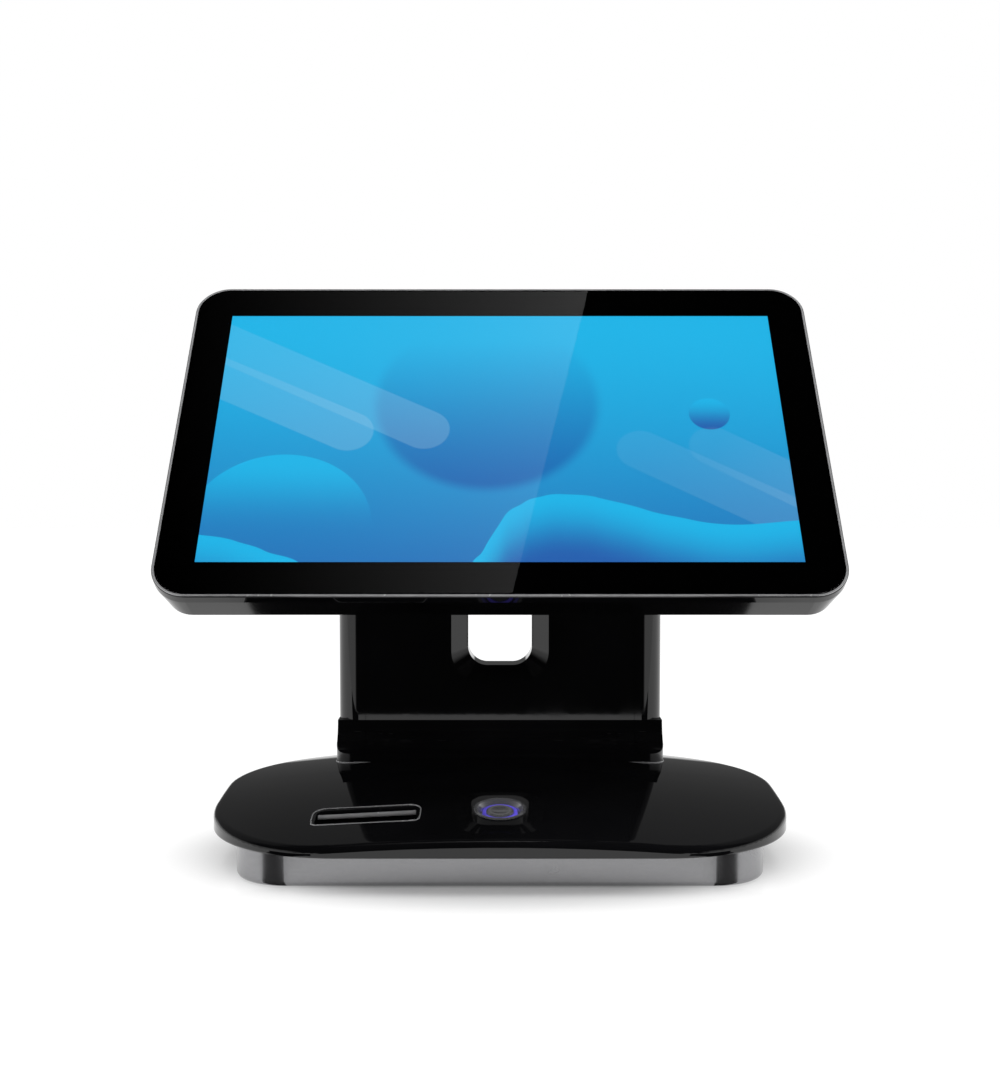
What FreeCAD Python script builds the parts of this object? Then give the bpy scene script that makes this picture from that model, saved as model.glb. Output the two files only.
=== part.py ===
"""Counter-top touchscreen till: tilting 15.6 inch screen on a wide neck over a domed base.

Millimetres. +X to the customer's right seen from the front, -Y towards the person using it, +Z up.
The origin is the centre of the base's footprint on the counter.
"""
import FreeCAD, Part
import math
import os

V = FreeCAD.Vector
X_AXIS = V(1, 0, 0)
Z_AXIS = V(0, 0, 1)

# ---------------------------------------------------------------- driving dimensions
# Fits and general walls
GAP = 0.3                      # clearance between separate mouldings
FIT = 0.05                     # radial clearance of a shaft in its bore
WALL = 2.5                     # plastic wall
SHEET = 1.2                    # folded steel sheet

# Base
BASE_W = 347.0                 # overall width of the domed shell
BASE_D = 200.0                 # overall depth of the domed shell
BASE_CORNER = 81.0             # plan radius of the shell's corners
BASE_LIP_Z = 22.0              # underside of the shell
BASE_FRONT_RISE = 10.1         # dome height at the front edge, above the shell's underside
BASE_CREST_RISE = 26.2         # highest point of the dome, above the shell's underside
BASE_CREST_Y = 33.0            # where the crest lies
BASE_SIDE_DROP = 10.5          # how much lower the dome is at its left and right ends
BASE_EDGE_ROUND = 4.3          # rounding of the dome's edge
BASE_LIP_ROUND = 1.6           # rounding under the shell
PLINTH_W = 309.5
PLINTH_D = 164.0
PLINTH_CORNER = 32.0
PLINTH_WALL = 2.0
PLINTH_Z = 1.0                 # bottom of the plinth above the counter
PLINTH_ROUND = 2.8             # rounding of the plinth's lower edge
FLANGE_T = 2.0                 # flange of the tray, under the shell
FOOT_R = 9.0
FOOT_DEPTH = 1.0               # how far a foot sits up in its recess
FOOT_INSET = 24.0              # foot centre from the plinth's sides
WEIGHT_T = 4.0
WEIGHT_MARGIN = 5.0            # weight plate inside the tray's wall
BOSS_R = 4.0                   # shell bosses on the tray's flange
BOSS_DEPTH = 6.0               # thread depth in a boss
BOSS_SIDE_Y = 34.0
BOSS_SCREW_L = 7.0
BOSS_FRONT_X = 60.0

# Electronics in the base
STANDOFF_R = 3.0
STANDOFF_H = 2.0
BOARD_W = 200.0
BOARD_D = 112.0
BOARD_T = 1.6
BOARD_HOLE_INSET = 6.0
BOARD_BACK_GAP = 3.3           # board edge to the inside of the tray's rear wall
PANEL_CLEAR = 0.2              # rear panel in its window, and sockets in the panel
IO_W = 176.0                   # window for the rear panel
PORT_OUT = 1.0                 # how far the sockets stand out of the rear panel
SOCKET_DEPTH = 16.0
SOCKET_WALL = 0.9
CPU_W = 30.0
CPU_T = 2.2
SINK_X = -8.0
SINK_DOWN = 22.0               # heatsink centre ahead of the board's centre
SINK_W = 44.0
SINK_D = 44.0
SINK_BASE_T = 3.0
SINK_H = 14.0
SINK_FINS = 9
SINK_FIN_T = 1.2
# Chips on the main board: X and Y from its centre, width, depth, height
BOARD_CHIPS = [(62, -26, 12, 12, 1.6), (86, -20, 9, 14, 1.2), (-72, -30, 16, 10, 2.0), (40, -12, 8, 8, 4.0)]
BOARD_CHIPS += [(54 + 8 * i, -44, 5, 5, 5.5) for i in range(5)]
# Memory module and its socket: X from the board's centre, card width and length, card thickness
MEMORY_X = -76.0
MEMORY_W = 40.0
MEMORY_L = 27.8
MEMORY_T = 1.2
MEMORY_CHIPS = 4
MEMORY_PITCH = 9.4
# Solid state drive: socket end, card width and length, card thickness
SSD_X = 34.0
SSD_W = 22.0
SSD_L = 64.0
SSD_T = 0.8
SSD_LIFT = 2.4                 # card above the board
# Rear sockets: name, centre x, width, height, and the kind of mouth
SOCKETS = [
    ("dc_inlet", -78.0, 10.0, 10.4, "pin"),
    ("serial_port", -51.0, 31.0, 10.4, "plug"),
    ("drawer_port", -22.0, 13.6, 10.4, "jack"),
    ("lan_port", -2.0, 16.0, 10.4, "jack"),
    ("hdmi_port", 19.0, 15.2, 6.2, "tongue"),
    ("usb_port_left", 39.0, 14.6, 7.2, "tongue"),
    ("usb_port_right", 57.0, 14.6, 7.2, "tongue"),
    ("audio_jack", 74.0, 7.6, 7.6, "round"),
]

# Card slot on the left of the base's top
CARD_X = -77.7
CARD_Y = -62.0
CARD_MOUTH_W = 60.6
CARD_MOUTH_D = 20.0
CARD_CORNER = 6.0
CARD_DEPTH = 9.5
CARD_GAP_W = 55.0              # a 54 mm card and its clearance
CARD_GAP_H = 1.6
CARD_SEAT = 0.9                # wall of the slot's insert
CARD_BAR_R = 1.5               # bar across the back of the slot
READER_L = 34.0
READER_H = 6.6
READER_ROOF = 0.8              # reader above its card gap

# Power button at the middle front of the base's top
BUTTON_Y = -60.0
BUTTON_R = 8.3
BUTTON_RISE = 2.6              # top of the button above the dish floor
BUTTON_TRAVEL = 1.2
LED_R = 10.2
DISH_R = 15.4
DISH_DEPTH = 3.0
DISH_RIM = 1.4
BUTTON_SKIRT = 4.0             # button and dish below the dish floor
SWITCH_DROP = 3.0              # stem of the button
SWITCH_W = 6.2
SWITCH_H = 3.2

# Neck
NECK_W = 217.5
NECK_BACK_Y = 95.0
NECK_T = 28.0
NECK_CORNER = 13.8
NECK_STRAIGHT_Z = 176.0        # the column is straight up to here, then leans forward
PANEL_W = 180.0                # width of the front cover between its two seams
FOOT_REACH = 20.0              # how far the neck's foot stands ahead of the column
FOOT_EDGE_H = 2.6
FOOT_SWEEP = 19.0              # radius of the foot's sweep
SEAM = 0.25                    # seam between the neck's two covers, and round the cable cover
SPINE_W = 150.0
SPINE_T = 3.0
SPINE_FLANGE = 26.0            # depth of the spine's foot flange
SPINE_BEHIND = 2.0             # spine behind the middle of the neck
BRIDGE_T = 3.0                 # steel bridge across the tray that carries the spine
HOLE_W = 43.0                  # cable hole through the neck
HOLE_Z0 = 105.5
HOLE_Z1 = 160.0
HOLE_CORNER = 13.0
RIM_W = 66.0                   # flared front rim of the cable hole
RIM_DROP = 10.5
RIM_DEPTH = 9.0

# Hinge
HINGE_Y = 52.0
HINGE_Z = 243.0
BARREL_R = 21.0
BARREL_HALF = 70.0
SHAFT_R = 5.0
DISC_R = 14.0
DISC_T = 0.8
ARM_T = 9.0
NUT_AF = 16.0
NUT_T = 6.0
SPRING_T = 1.2
CAP_T = 1.6
CAP_CLEAR = 3.0                # cap beyond the nut
BLOCK_T = 12.0                 # thickness of the two steel hinge blocks inside the barrel
BLOCK_X = 48.0

# Screen
TILT = 51.2                    # screen plane from horizontal at rest
SCREEN_Y = -20.2               # centre of the picture area
SCREEN_Z = 262.4
PICTURE_W = 344.2              # 15.6 inch, 16:9
PICTURE_H = 193.6
HOUSING_W = 391.0
HOUSING_H = 240.6
HOUSING_DOWN = 1.05            # the housing's centre lies this far below the picture's
HOUSING_CORNER = 21.0
HOUSING_T = 27.5
HOUSING_DRAFT = 5.0            # the rear outline is this much smaller on each side
LIP = 2.0                      # frame showing around the glass
FRAME_T = 6.0
GLASS_T = 3.0
GLASS_EDGE = 0.5
MASK_T = 0.25
GASKET_T = 0.9
PANEL_T = 2.0
LIGHT_T = 3.4
TRAY_T = 1.0
MODULE_MARGIN = 4.5            # panel beyond the picture on each side
BRACKET_W = 190.0
BRACKET_H = 84.0
BRACKET_T = 4.0
BRACKET_CORNER = 12.0
BRACKET_BOLT_X = 47.0          # bracket bolts from the middle
BRACKET_BOLT_IN = 14.0         # and from the bracket's long edges
POST_R = 5.0                   # threaded posts behind the chassis
BOARD_POST = 3.0               # stand-off of the screen's boards
CABLE_COVER_W = 94.0
CABLE_COVER_H = 62.0
SPEAKER_W = 62.0
SPEAKER_H = 24.0
SPEAKER_X = 128.0
SPEAKER_Y = -86.0
SPEAKER_CLEAR = 4.25           # front of a speaker box behind the chassis
VENT_PITCH = 8.0
VENT_W = 3.0
VENT_L = 16.0
SIDE_SCREW_Y = 75.0
END_SCREW_X = 112.0
HOUSING_SCREW_IN = 10.5        # housing screws from the housing's edge

# Fasteners
SCREW_R = 1.5
SCREW_HEAD_R = 3.0
SCREW_HEAD_T = 1.8
BOLT_R = 2.0
BOLT_HEAD_R = 3.8
BOLT_HEAD_T = 2.6

# ---------------------------------------------------------------- sizes worked out from those
BASE_FRONT_Z = BASE_LIP_Z + BASE_FRONT_RISE
BASE_CREST_Z = BASE_LIP_Z + BASE_CREST_RISE
TRAY_TOP = BASE_LIP_Z + FLANGE_T
TRAY_FLOOR = PLINTH_Z + PLINTH_WALL
BOARD_Y = PLINTH_D / 2 - PLINTH_WALL - BOARD_BACK_GAP - BOARD_D / 2
BOARD_Z = TRAY_FLOOR + WEIGHT_T + STANDOFF_H
BOARD_TOP = BOARD_Z + BOARD_T
IO_Z0 = BOARD_Z + PANEL_CLEAR
SINK_Y = BOARD_Y - SINK_DOWN
NECK_FRONT_Y = NECK_BACK_Y - NECK_T
FOOT_FRONT_Y = NECK_FRONT_Y - FOOT_REACH
SPLIT_Y = NECK_FRONT_Y + NECK_T / 2
SPINE_Y0 = SPLIT_Y - SPINE_T / 2 + SPINE_BEHIND
HOLE_ZC = (HOLE_Z0 + HOLE_Z1) / 2
HOLE_H = HOLE_Z1 - HOLE_Z0
ARM_X0 = BARREL_HALF + GAP / 3 + DISC_T + GAP / 3
ARM_X1 = ARM_X0 + ARM_T
GLASS_W = HOUSING_W - 2 * LIP
GLASS_H = HOUSING_H - 2 * LIP
GLASS_CORNER = HOUSING_CORNER - LIP
MODULE_W = PICTURE_W + 2 * MODULE_MARGIN
MODULE_H = PICTURE_H + 2 * MODULE_MARGIN
MODULE_Z = -GLASS_T - MASK_T - GASKET_T           # front of the LCD panel
TRAY_Z = MODULE_Z - PANEL_T - LIGHT_T - TRAY_T    # back of the LCD tray
CHASSIS_Z = TRAY_Z - SHEET
TRAY_SIDE = GAP + TRAY_T
WINDOW_W = MODULE_W + 2 * TRAY_SIDE + 3.2
WINDOW_H = MODULE_H + 2 * TRAY_SIDE + 3.2
HOUSING_FLOOR = -HOUSING_T + WALL
SCREEN_BOARD_Z = CHASSIS_Z - BOARD_POST - BOARD_T  # back of the boards behind the chassis
CHIP_ROOM = SCREEN_BOARD_Z - HOUSING_FLOOR         # free depth for their parts


# ---------------------------------------------------------------- shape helpers
def block(x0, x1, y0, y1, z0, z1):
    """A box given by its limits."""
    return Part.makeBox(x1 - x0, y1 - y0, z1 - z0, V(x0, y0, z0))


def rod(radius, length, base, axis=Z_AXIS):
    """A plain cylinder."""
    return Part.makeCylinder(radius, length, base, axis)


def pipe(outer, inner, length, base, axis=Z_AXIS):
    """A cylinder with a bore."""
    return rod(outer, length, base, axis).cut(rod(inner, length, base, axis))


def rounded_wire(w, d, r, z=0.0, cx=0.0, cy=0.0):
    """Closed outline of a rounded rectangle, w along X and d along Y, at height z."""
    x, y, k = w / 2, d / 2, math.sqrt(0.5)
    edges = []
    corners = [(x - r, -y + r, 1, -1), (x - r, y - r, 1, 1), (-x + r, y - r, -1, 1), (-x + r, -y + r, -1, -1)]
    last = None
    first = None
    for px, py, sx, sy in corners:
        side, end = V(cx + px + sx * r, cy + py, z), V(cx + px, cy + py + sy * r, z)
        mid = V(cx + px + sx * r * k, cy + py + sy * r * k, z)
        start, stop = (end, side) if sx * sy < 0 else (side, end)
        if last is not None and last.distanceToPoint(start) > 1e-6:
            edges.append(Part.makeLine(last, start))
        first = first or start
        edges.append(Part.Arc(start, mid, stop).toShape())
        last = stop
    if last.distanceToPoint(first) > 1e-6:
        edges.append(Part.makeLine(last, first))
    return Part.Wire(edges)


def rounded(w, d, r, z0, z1, cx=0.0, cy=0.0):
    """A rounded rectangular plate or post from z0 to z1."""
    return Part.Face(rounded_wire(w, d, r, z0, cx, cy)).extrude(V(0, 0, z1 - z0))


def ring_plate(w, d, r, w_in, d_in, r_in, z0, z1, cy=0.0, cy_in=None):
    """A rounded plate with a rounded window."""
    inside = cy if cy_in is None else cy_in
    return rounded(w, d, r, z0, z1, 0, cy).cut(rounded(w_in, d_in, r_in, z0 - 1, z1 + 1, 0, inside))


def upright(shape, y):
    """Turn a shape drawn flat, X right and Y up, into one standing in the XZ plane, its top at -Y."""
    return shape.rotated(V(0, 0, 0), X_AXIS, 90).translated(V(0, y, 0))


def hexagon(across, thick, base, axis):
    """A hexagonal nut blank."""
    radius = across / math.sqrt(3)
    points = [V(radius * math.cos(math.radians(60 * i)), radius * math.sin(math.radians(60 * i)), 0)
              for i in range(7)]
    solid = Part.Face(Part.makePolygon(points)).extrude(V(0, 0, thick))
    solid.Placement = FreeCAD.Placement(base, FreeCAD.Rotation(Z_AXIS, axis))
    return solid


def pan_screw(base, axis, length, radius=SCREW_R, head_r=SCREW_HEAD_R, head_t=SCREW_HEAD_T):
    """Screw whose head sits on base and stands along axis, shank going the other way, cross recess."""
    head = rod(head_r, head_t, V(0, 0, 0))
    head = head.makeFillet(head_t * 0.45, [e for e in head.Edges if e.BoundBox.ZMin > head_t - 0.01])
    screw = head.fuse(rod(radius, length, V(0, 0, -length)))
    for turn in (0, 90):
        bar = block(-head_r * 0.55, head_r * 0.55, -head_r * 0.12, head_r * 0.12, head_t * 0.45, head_t + 1)
        screw = screw.cut(bar.rotated(V(0, 0, 0), Z_AXIS, turn))
    screw.Placement = FreeCAD.Placement(base, FreeCAD.Rotation(Z_AXIS, axis))
    return screw


def group(shapes):
    """Several separate solids kept together under one name."""
    return Part.makeCompound([s for shape in shapes for s in shape.Solids])


def fuse_all(shapes):
    """One solid out of touching shapes."""
    body = shapes[0].multiFuse(shapes[1:]) if len(shapes) > 1 else shapes[0]
    return body.removeSplitter()


def cut_all(shape, tools):
    """Take every tool away from the shape."""
    return shape.cut(Part.makeCompound(tools)) if tools else shape


# ---------------------------------------------------------------- base
def dome_radius_y():
    return (BASE_CREST_Y + BASE_D / 2) ** 2 / (2 * (BASE_CREST_Z - BASE_FRONT_Z))


def dome_radius_x():
    return (BASE_W / 2) ** 2 / (2 * BASE_SIDE_DROP)


def dome_z(x, y):
    """Height of the dome above the counter."""
    ry, rx = dome_radius_y(), dome_radius_x()
    across = BASE_CREST_Z - (rx - math.sqrt(rx ** 2 - x ** 2))
    radius = across - (BASE_CREST_Z - ry)
    return BASE_CREST_Z - ry + math.sqrt(radius ** 2 - (y - BASE_CREST_Y) ** 2)


def dome_block(drop):
    """Everything below the doubly curved top face, lowered by drop."""
    ry, rx, top = dome_radius_y(), dome_radius_x(), BASE_CREST_Z - drop
    half = BASE_W / 2 + 20
    edge_z = top - (rx - math.sqrt(rx ** 2 - half ** 2))
    a, b = V(-half, BASE_CREST_Y, edge_z), V(half, BASE_CREST_Y, edge_z)
    low_a, low_b = V(-half, BASE_CREST_Y, -60), V(half, BASE_CREST_Y, -60)
    arc = Part.Arc(a, V(0, BASE_CREST_Y, top), b).toShape()
    wire = Part.Wire([arc, Part.makeLine(b, low_b), Part.makeLine(low_b, low_a), Part.makeLine(low_a, a)])
    centre = V(0, BASE_CREST_Y, BASE_CREST_Z - ry)
    forward = math.degrees(math.asin((BASE_CREST_Y + BASE_D / 2) / ry)) + 2
    back = math.degrees(math.asin((BASE_D / 2 - BASE_CREST_Y) / ry)) + 2
    face = Part.Face(wire).rotated(centre, X_AXIS, forward)
    return face.revolve(centre, X_AXIS, -forward - back)


def base_form(inset, drop, z0):
    """The base's outer form, or the same form drawn in by inset and lowered by drop."""
    prism = rounded(BASE_W - 2 * inset, BASE_D - 2 * inset, BASE_CORNER - inset, z0, BASE_CREST_Z + 10)
    form = prism.common(dome_block(drop)).Solids[0]
    top = [e for e in form.Edges if e.BoundBox.ZMin > z0 + 3]
    return form.makeFillet(max(BASE_EDGE_ROUND - inset, 1.0), top)


def dome_normal(x, y):
    """Outward direction of the dome at x, y."""
    step = 0.5
    slope_x = (dome_z(x + step, y) - dome_z(x - step, y)) / (2 * step)
    slope_y = (dome_z(x, y + step) - dome_z(x, y - step)) / (2 * step)
    return V(-slope_x, -slope_y, 1).normalize()


def on_dome(shape, x, y):
    """Place a shape drawn about the origin, +Z out, on the dome at x, y."""
    shape.Placement = FreeCAD.Placement(V(x, y, dome_z(x, y)), FreeCAD.Rotation(Z_AXIS, dome_normal(x, y)))
    return shape


def card_pocket(grow, depth, above):
    """The card slot's plan, straight in front and rounded behind, as a block from -depth to above."""
    w, d, r = CARD_MOUTH_W + 2 * grow, CARD_MOUTH_D + 2 * grow, CARD_CORNER + grow
    front = block(-w / 2, w / 2, -d / 2, 0, -depth, above)
    return rounded(w, d, r, -depth, above).fuse(front).removeSplitter()


def neck_footprint(grow, z0, z1):
    """Plan of the neck's foot, from its front edge to the neck's back."""
    y0, y1 = FOOT_FRONT_Y - grow, NECK_BACK_Y + grow
    return rounded(NECK_W + 2 * grow, y1 - y0, NECK_CORNER + grow, z0, z1, 0, (y0 + y1) / 2)


def make_base_shell():
    shell = base_form(0, 0, BASE_LIP_Z)
    under = [e for e in shell.Edges if e.BoundBox.ZMax < BASE_LIP_Z + 0.01]
    shell = shell.makeFillet(BASE_LIP_ROUND, under)
    shell = shell.cut(base_form(WALL, WALL, BASE_LIP_Z - 5))
    neck_window = block(-SPINE_W / 2 - 4, SPINE_W / 2 + 4, NECK_FRONT_Y + WALL + 2, NECK_BACK_Y - WALL - 2,
                        BASE_LIP_Z + 8, BASE_CREST_Z + 5)
    button_hole = on_dome(rod(DISH_R - DISH_RIM, 40, V(0, 0, -20)), 0, BUTTON_Y)
    card_hole = on_dome(card_pocket(CARD_SEAT, 20, 20), CARD_X, CARD_Y)
    shell = cut_all(shell, [neck_window, button_hole, card_hole])
    pads = []
    for x, y in boss_places():
        post = rod(BOSS_R, dome_z(x, y) - WALL / 2 - TRAY_TOP, V(x, y, TRAY_TOP))
        pads.append(post.cut(rod(SCREW_R, BOSS_DEPTH, V(x, y, TRAY_TOP))))
    return fuse_all([shell] + pads)


def boss_places():
    """Screw bosses that hold the shell to the tray's flange: two at each end, two in front."""
    x = (PLINTH_W / 2 + BASE_W / 2 - WALL) / 2
    y = -(PLINTH_D / 2 + BASE_D / 2 - WALL) / 2
    ends = [(sx * x, sy * BOSS_SIDE_Y) for sx in (-1, 1) for sy in (-1, 1)]
    return ends + [(sx * BOSS_FRONT_X, y) for sx in (-1, 1)]


def foot_places():
    x, y = PLINTH_W / 2 - FOOT_INSET, PLINTH_D / 2 - FOOT_INSET
    return [(sx * x, sy * y) for sx in (-1, 1) for sy in (-1, 1)]


def make_plinth_tray():
    box = rounded(PLINTH_W, PLINTH_D, PLINTH_CORNER, PLINTH_Z, TRAY_TOP)
    low = [e for e in box.Edges if e.BoundBox.ZMax < PLINTH_Z + 0.01]
    box = box.makeFillet(PLINTH_ROUND, low)
    inset = WALL + GAP
    flange = rounded(BASE_W - 2 * inset, BASE_D - 2 * inset, BASE_CORNER - inset, BASE_LIP_Z, TRAY_TOP)
    tray = box.fuse(flange)
    t = PLINTH_WALL
    tray = tray.cut(rounded(PLINTH_W - 2 * t, PLINTH_D - 2 * t, PLINTH_CORNER - t, TRAY_FLOOR, TRAY_TOP + 1))
    tools = [rod(FOOT_R + 0.1, FOOT_DEPTH + 1, V(x, y, PLINTH_Z - 1)) for x, y in foot_places()]
    tools += [rod(SCREW_R + 0.2, FLANGE_T + 2, V(x, y, BASE_LIP_Z - 1)) for x, y in boss_places()]
    tools.append(block(-IO_W / 2, IO_W / 2, PLINTH_D / 2 - t - 1, PLINTH_D / 2 + 1, IO_Z0, BASE_LIP_Z))
    return cut_all(tray, tools).removeSplitter()


def make_feet():
    feet = []
    for x, y in foot_places():
        pad = rod(FOOT_R, PLINTH_Z + FOOT_DEPTH, V(x, y, 0))
        feet.append(pad.makeFillet(0.5, [e for e in pad.Edges if e.BoundBox.ZMax < 0.01]))
    return group(feet)


def make_weight_plate():
    inset = PLINTH_WALL + WEIGHT_MARGIN
    top = TRAY_FLOOR + WEIGHT_T
    return rounded(PLINTH_W - 2 * inset, PLINTH_D - 2 * inset, PLINTH_CORNER - inset, TRAY_FLOOR, top)


def board_holes():
    x, y = BOARD_W / 2 - BOARD_HOLE_INSET, BOARD_D / 2 - BOARD_HOLE_INSET
    return [(sx * x, BOARD_Y + sy * y) for sx in (-1, 1) for sy in (-1, 1)]


def make_standoffs():
    z0 = TRAY_FLOOR + WEIGHT_T
    return group([pipe(STANDOFF_R, SCREW_R, STANDOFF_H, V(x, y, z0)) for x, y in board_holes()])


def make_board_screws():
    length = BOARD_T + STANDOFF_H - 0.2
    return group([pan_screw(V(x, y, BOARD_TOP), Z_AXIS, length, SCREW_R - FIT) for x, y in board_holes()])


def make_main_board():
    board = rounded(BOARD_W, BOARD_D, 3, BOARD_Z, BOARD_TOP, 0, BOARD_Y)
    board = cut_all(board, [rod(SCREW_R + 0.1, BOARD_T + 2, V(x, y, BOARD_Z - 1)) for x, y in board_holes()])
    parts = [block(x - w / 2, x + w / 2, BOARD_Y + y - d / 2, BOARD_Y + y + d / 2, BOARD_TOP, BOARD_TOP + h)
             for x, y, w, d, h in BOARD_CHIPS]
    return fuse_all([board] + parts)


def make_processor():
    return rounded(CPU_W, CPU_W, 1, BOARD_TOP, BOARD_TOP + CPU_T, SINK_X, SINK_Y)


def make_heatsink():
    z0 = BOARD_TOP + CPU_T
    parts = [block(SINK_X - SINK_W / 2, SINK_X + SINK_W / 2, SINK_Y - SINK_D / 2, SINK_Y + SINK_D / 2,
                   z0, z0 + SINK_BASE_T)]
    pitch = (SINK_W - SINK_FIN_T) / (SINK_FINS - 1)
    for i in range(SINK_FINS):
        x = SINK_X - SINK_W / 2 + i * pitch
        parts.append(block(x, x + SINK_FIN_T, SINK_Y - SINK_D / 2, SINK_Y + SINK_D / 2,
                           z0 + SINK_BASE_T - 0.5, z0 + SINK_H))
    return fuse_all(parts)


def make_memory():
    """Memory socket and the module lying in it, its chips on top."""
    x0, x1 = MEMORY_X - MEMORY_W / 2, MEMORY_X + MEMORY_W / 2
    y0, card_z = BOARD_Y - 10.0, BOARD_TOP + 2.1
    back = y0 + 3.8
    socket = block(x0 - 2, x1 + 2, y0, y0 + 6, BOARD_TOP, BOARD_TOP + 5)
    slot = block(x0 - 0.2, x1 + 0.2, y0 - 1, back + 0.2, card_z - 0.1, card_z + MEMORY_T + 0.1)
    card = block(x0, x1, back - MEMORY_L, back, card_z, card_z + MEMORY_T)
    top = card_z + MEMORY_T
    chips = [block(x0 + 3 + MEMORY_PITCH * i, x0 + 10.6 + MEMORY_PITCH * i, y0 - 18, y0 - 8, top, top + 1.2)
             for i in range(MEMORY_CHIPS)]
    return socket.cut(slot), fuse_all([card] + chips)


def make_ssd():
    """Card drive in its socket, held down on a post at the far end."""
    y0, card_z = BOARD_Y + 14.0, BOARD_TOP + SSD_LIFT
    top = card_z + SSD_T
    post = rod(2.0, SSD_LIFT, V(SSD_X + SSD_L - 8, y0, BOARD_TOP))
    socket = block(SSD_X - 8, SSD_X, y0 - SSD_W / 2, y0 + SSD_W / 2, BOARD_TOP, card_z)
    card = block(SSD_X - 4, SSD_X + SSD_L - 4, y0 - SSD_W / 2, y0 + SSD_W / 2, card_z, top)
    chips = [block(SSD_X + 6 + 18 * i, SSD_X + 20 + 18 * i, y0 - 7, y0 + 7, top, top + 1.2) for i in range(2)]
    return fuse_all([socket, card, post] + chips)


def make_socket(x, w, h, kind):
    """One socket standing on the board, its mouth facing back through the rear panel."""
    z0 = BOARD_TOP
    y1 = PLINTH_D / 2 + PORT_OUT
    y0 = y1 - SOCKET_DEPTH
    body = block(x - w / 2, x + w / 2, y0, y1, z0, z0 + h)
    t = SOCKET_WALL
    zc = z0 + h / 2
    if kind == "pin":
        mouth = rod(3.2, 10, V(x, y1 - 10, zc), V(0, 1, 0))
        return body.cut(mouth).fuse(rod(1.0, 9, V(x, y1 - 10, zc), V(0, 1, 0)))
    if kind == "round":
        return body.cut(rod(1.8, 12, V(x, y1 - 12, zc), V(0, 1, 0)))
    if kind == "jack":
        wide = block(x - w / 2 + 1.5, x + w / 2 - 1.5, y1 - 13, y1, z0 + 2.8, z0 + h - 1.0)
        latch = block(x - 3, x + 3, y1 - 9, y1, z0 + 1.2, z0 + 2.8)
        return body.cut(wide).cut(latch)
    if kind == "plug":
        shell_w, shell_h = w - 14, h - 2.6
        body = block(x - w / 2, x + w / 2, y0, y1 - 2, z0, z0 + h)
        ring = ring_plate(shell_w, shell_h, 2.4, shell_w - 1.4, shell_h - 1.4, 1.8, 0, 5)
        ring = ring.rotated(V(0, 0, 0), X_AXIS, -90).translated(V(x, y1 - 2, zc))
        nuts = [hexagon(4.8, 2.4, V(x + s * (w / 2 - 3.4), y1 - 2, zc), V(0, 1, 0)) for s in (-1, 1)]
        return fuse_all([body, ring] + nuts)
    hollow = block(x - w / 2 + t, x + w / 2 - t, y1 - 10, y1, z0 + t, z0 + h - t)
    tongue = block(x - w / 2 + t + 1.2, x + w / 2 - t - 1.2, y1 - 10.5, y1 - 1, zc, zc + 1.2)
    return body.cut(hollow).fuse(tongue)


def make_io_panel():
    """Steel panel filling the tray's rear window, with a hole for every socket."""
    c = PANEL_CLEAR
    y1 = PLINTH_D / 2 - c
    panel = block(-IO_W / 2 + c, IO_W / 2 - c, y1 - PLINTH_WALL + c, y1, IO_Z0 + c, BASE_LIP_Z - c)
    holes = [block(x - w / 2 - c, x + w / 2 + c, y1 - 6, y1 + 6, BOARD_TOP - c, BOARD_TOP + h + c)
             for _, x, w, h, _ in SOCKETS]
    return cut_all(panel, holes)


def make_button_parts():
    """Dish, light ring, button and switch, drawn about the dome's surface point with +Z outwards."""
    floor_z = -DISH_DEPTH
    low_z = floor_z - BUTTON_SKIRT
    # dished ring with a turned-over rim resting on the shell
    profile = [V(DISH_R, 0, 0), V(DISH_R, 0, 0.7), V(DISH_R - 1.0, 0, 1.1), V(DISH_R - 2.0, 0, 0.6),
               V(LED_R + 1.4, 0, floor_z), V(LED_R + 0.1, 0, floor_z), V(LED_R + 0.1, 0, low_z),
               V(DISH_R - DISH_RIM - GAP, 0, low_z), V(DISH_R - DISH_RIM - GAP, 0, 0), V(DISH_R, 0, 0)]
    dish = Part.Face(Part.makePolygon(profile)).revolve(V(0, 0, 0), Z_AXIS, 360)
    led = pipe(LED_R, BUTTON_R + GAP, 3.4, V(0, 0, floor_z - 3.0))
    cap = rod(BUTTON_R, BUTTON_RISE + BUTTON_SKIRT, V(0, 0, low_z))
    crown = [e for e in cap.Edges if e.BoundBox.ZMin > floor_z + BUTTON_RISE - 0.01]
    cap = cap.makeFillet(1.4, crown)
    hollow_r, hollow_depth = 26.0, 0.55
    cap = cap.cut(Part.makeSphere(hollow_r, V(0, 0, floor_z + BUTTON_RISE - hollow_depth + hollow_r)))
    stem = rod(2.0, SWITCH_DROP, V(0, 0, low_z - SWITCH_DROP))
    button = fuse_all([cap, stem])
    top = low_z - SWITCH_DROP - BUTTON_TRAVEL - 0.1
    board_z = top - SWITCH_H
    switch = block(-SWITCH_W / 2, SWITCH_W / 2, -SWITCH_W / 2, SWITCH_W / 2, board_z, top)
    board = rounded(36, 26, 2, board_z - BOARD_T, board_z)
    cage = pipe(LED_R + 3.0, LED_R + 0.6, low_z - board_z, V(0, 0, board_z))
    return dish, led, button, fuse_all([board, switch]), cage


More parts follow.
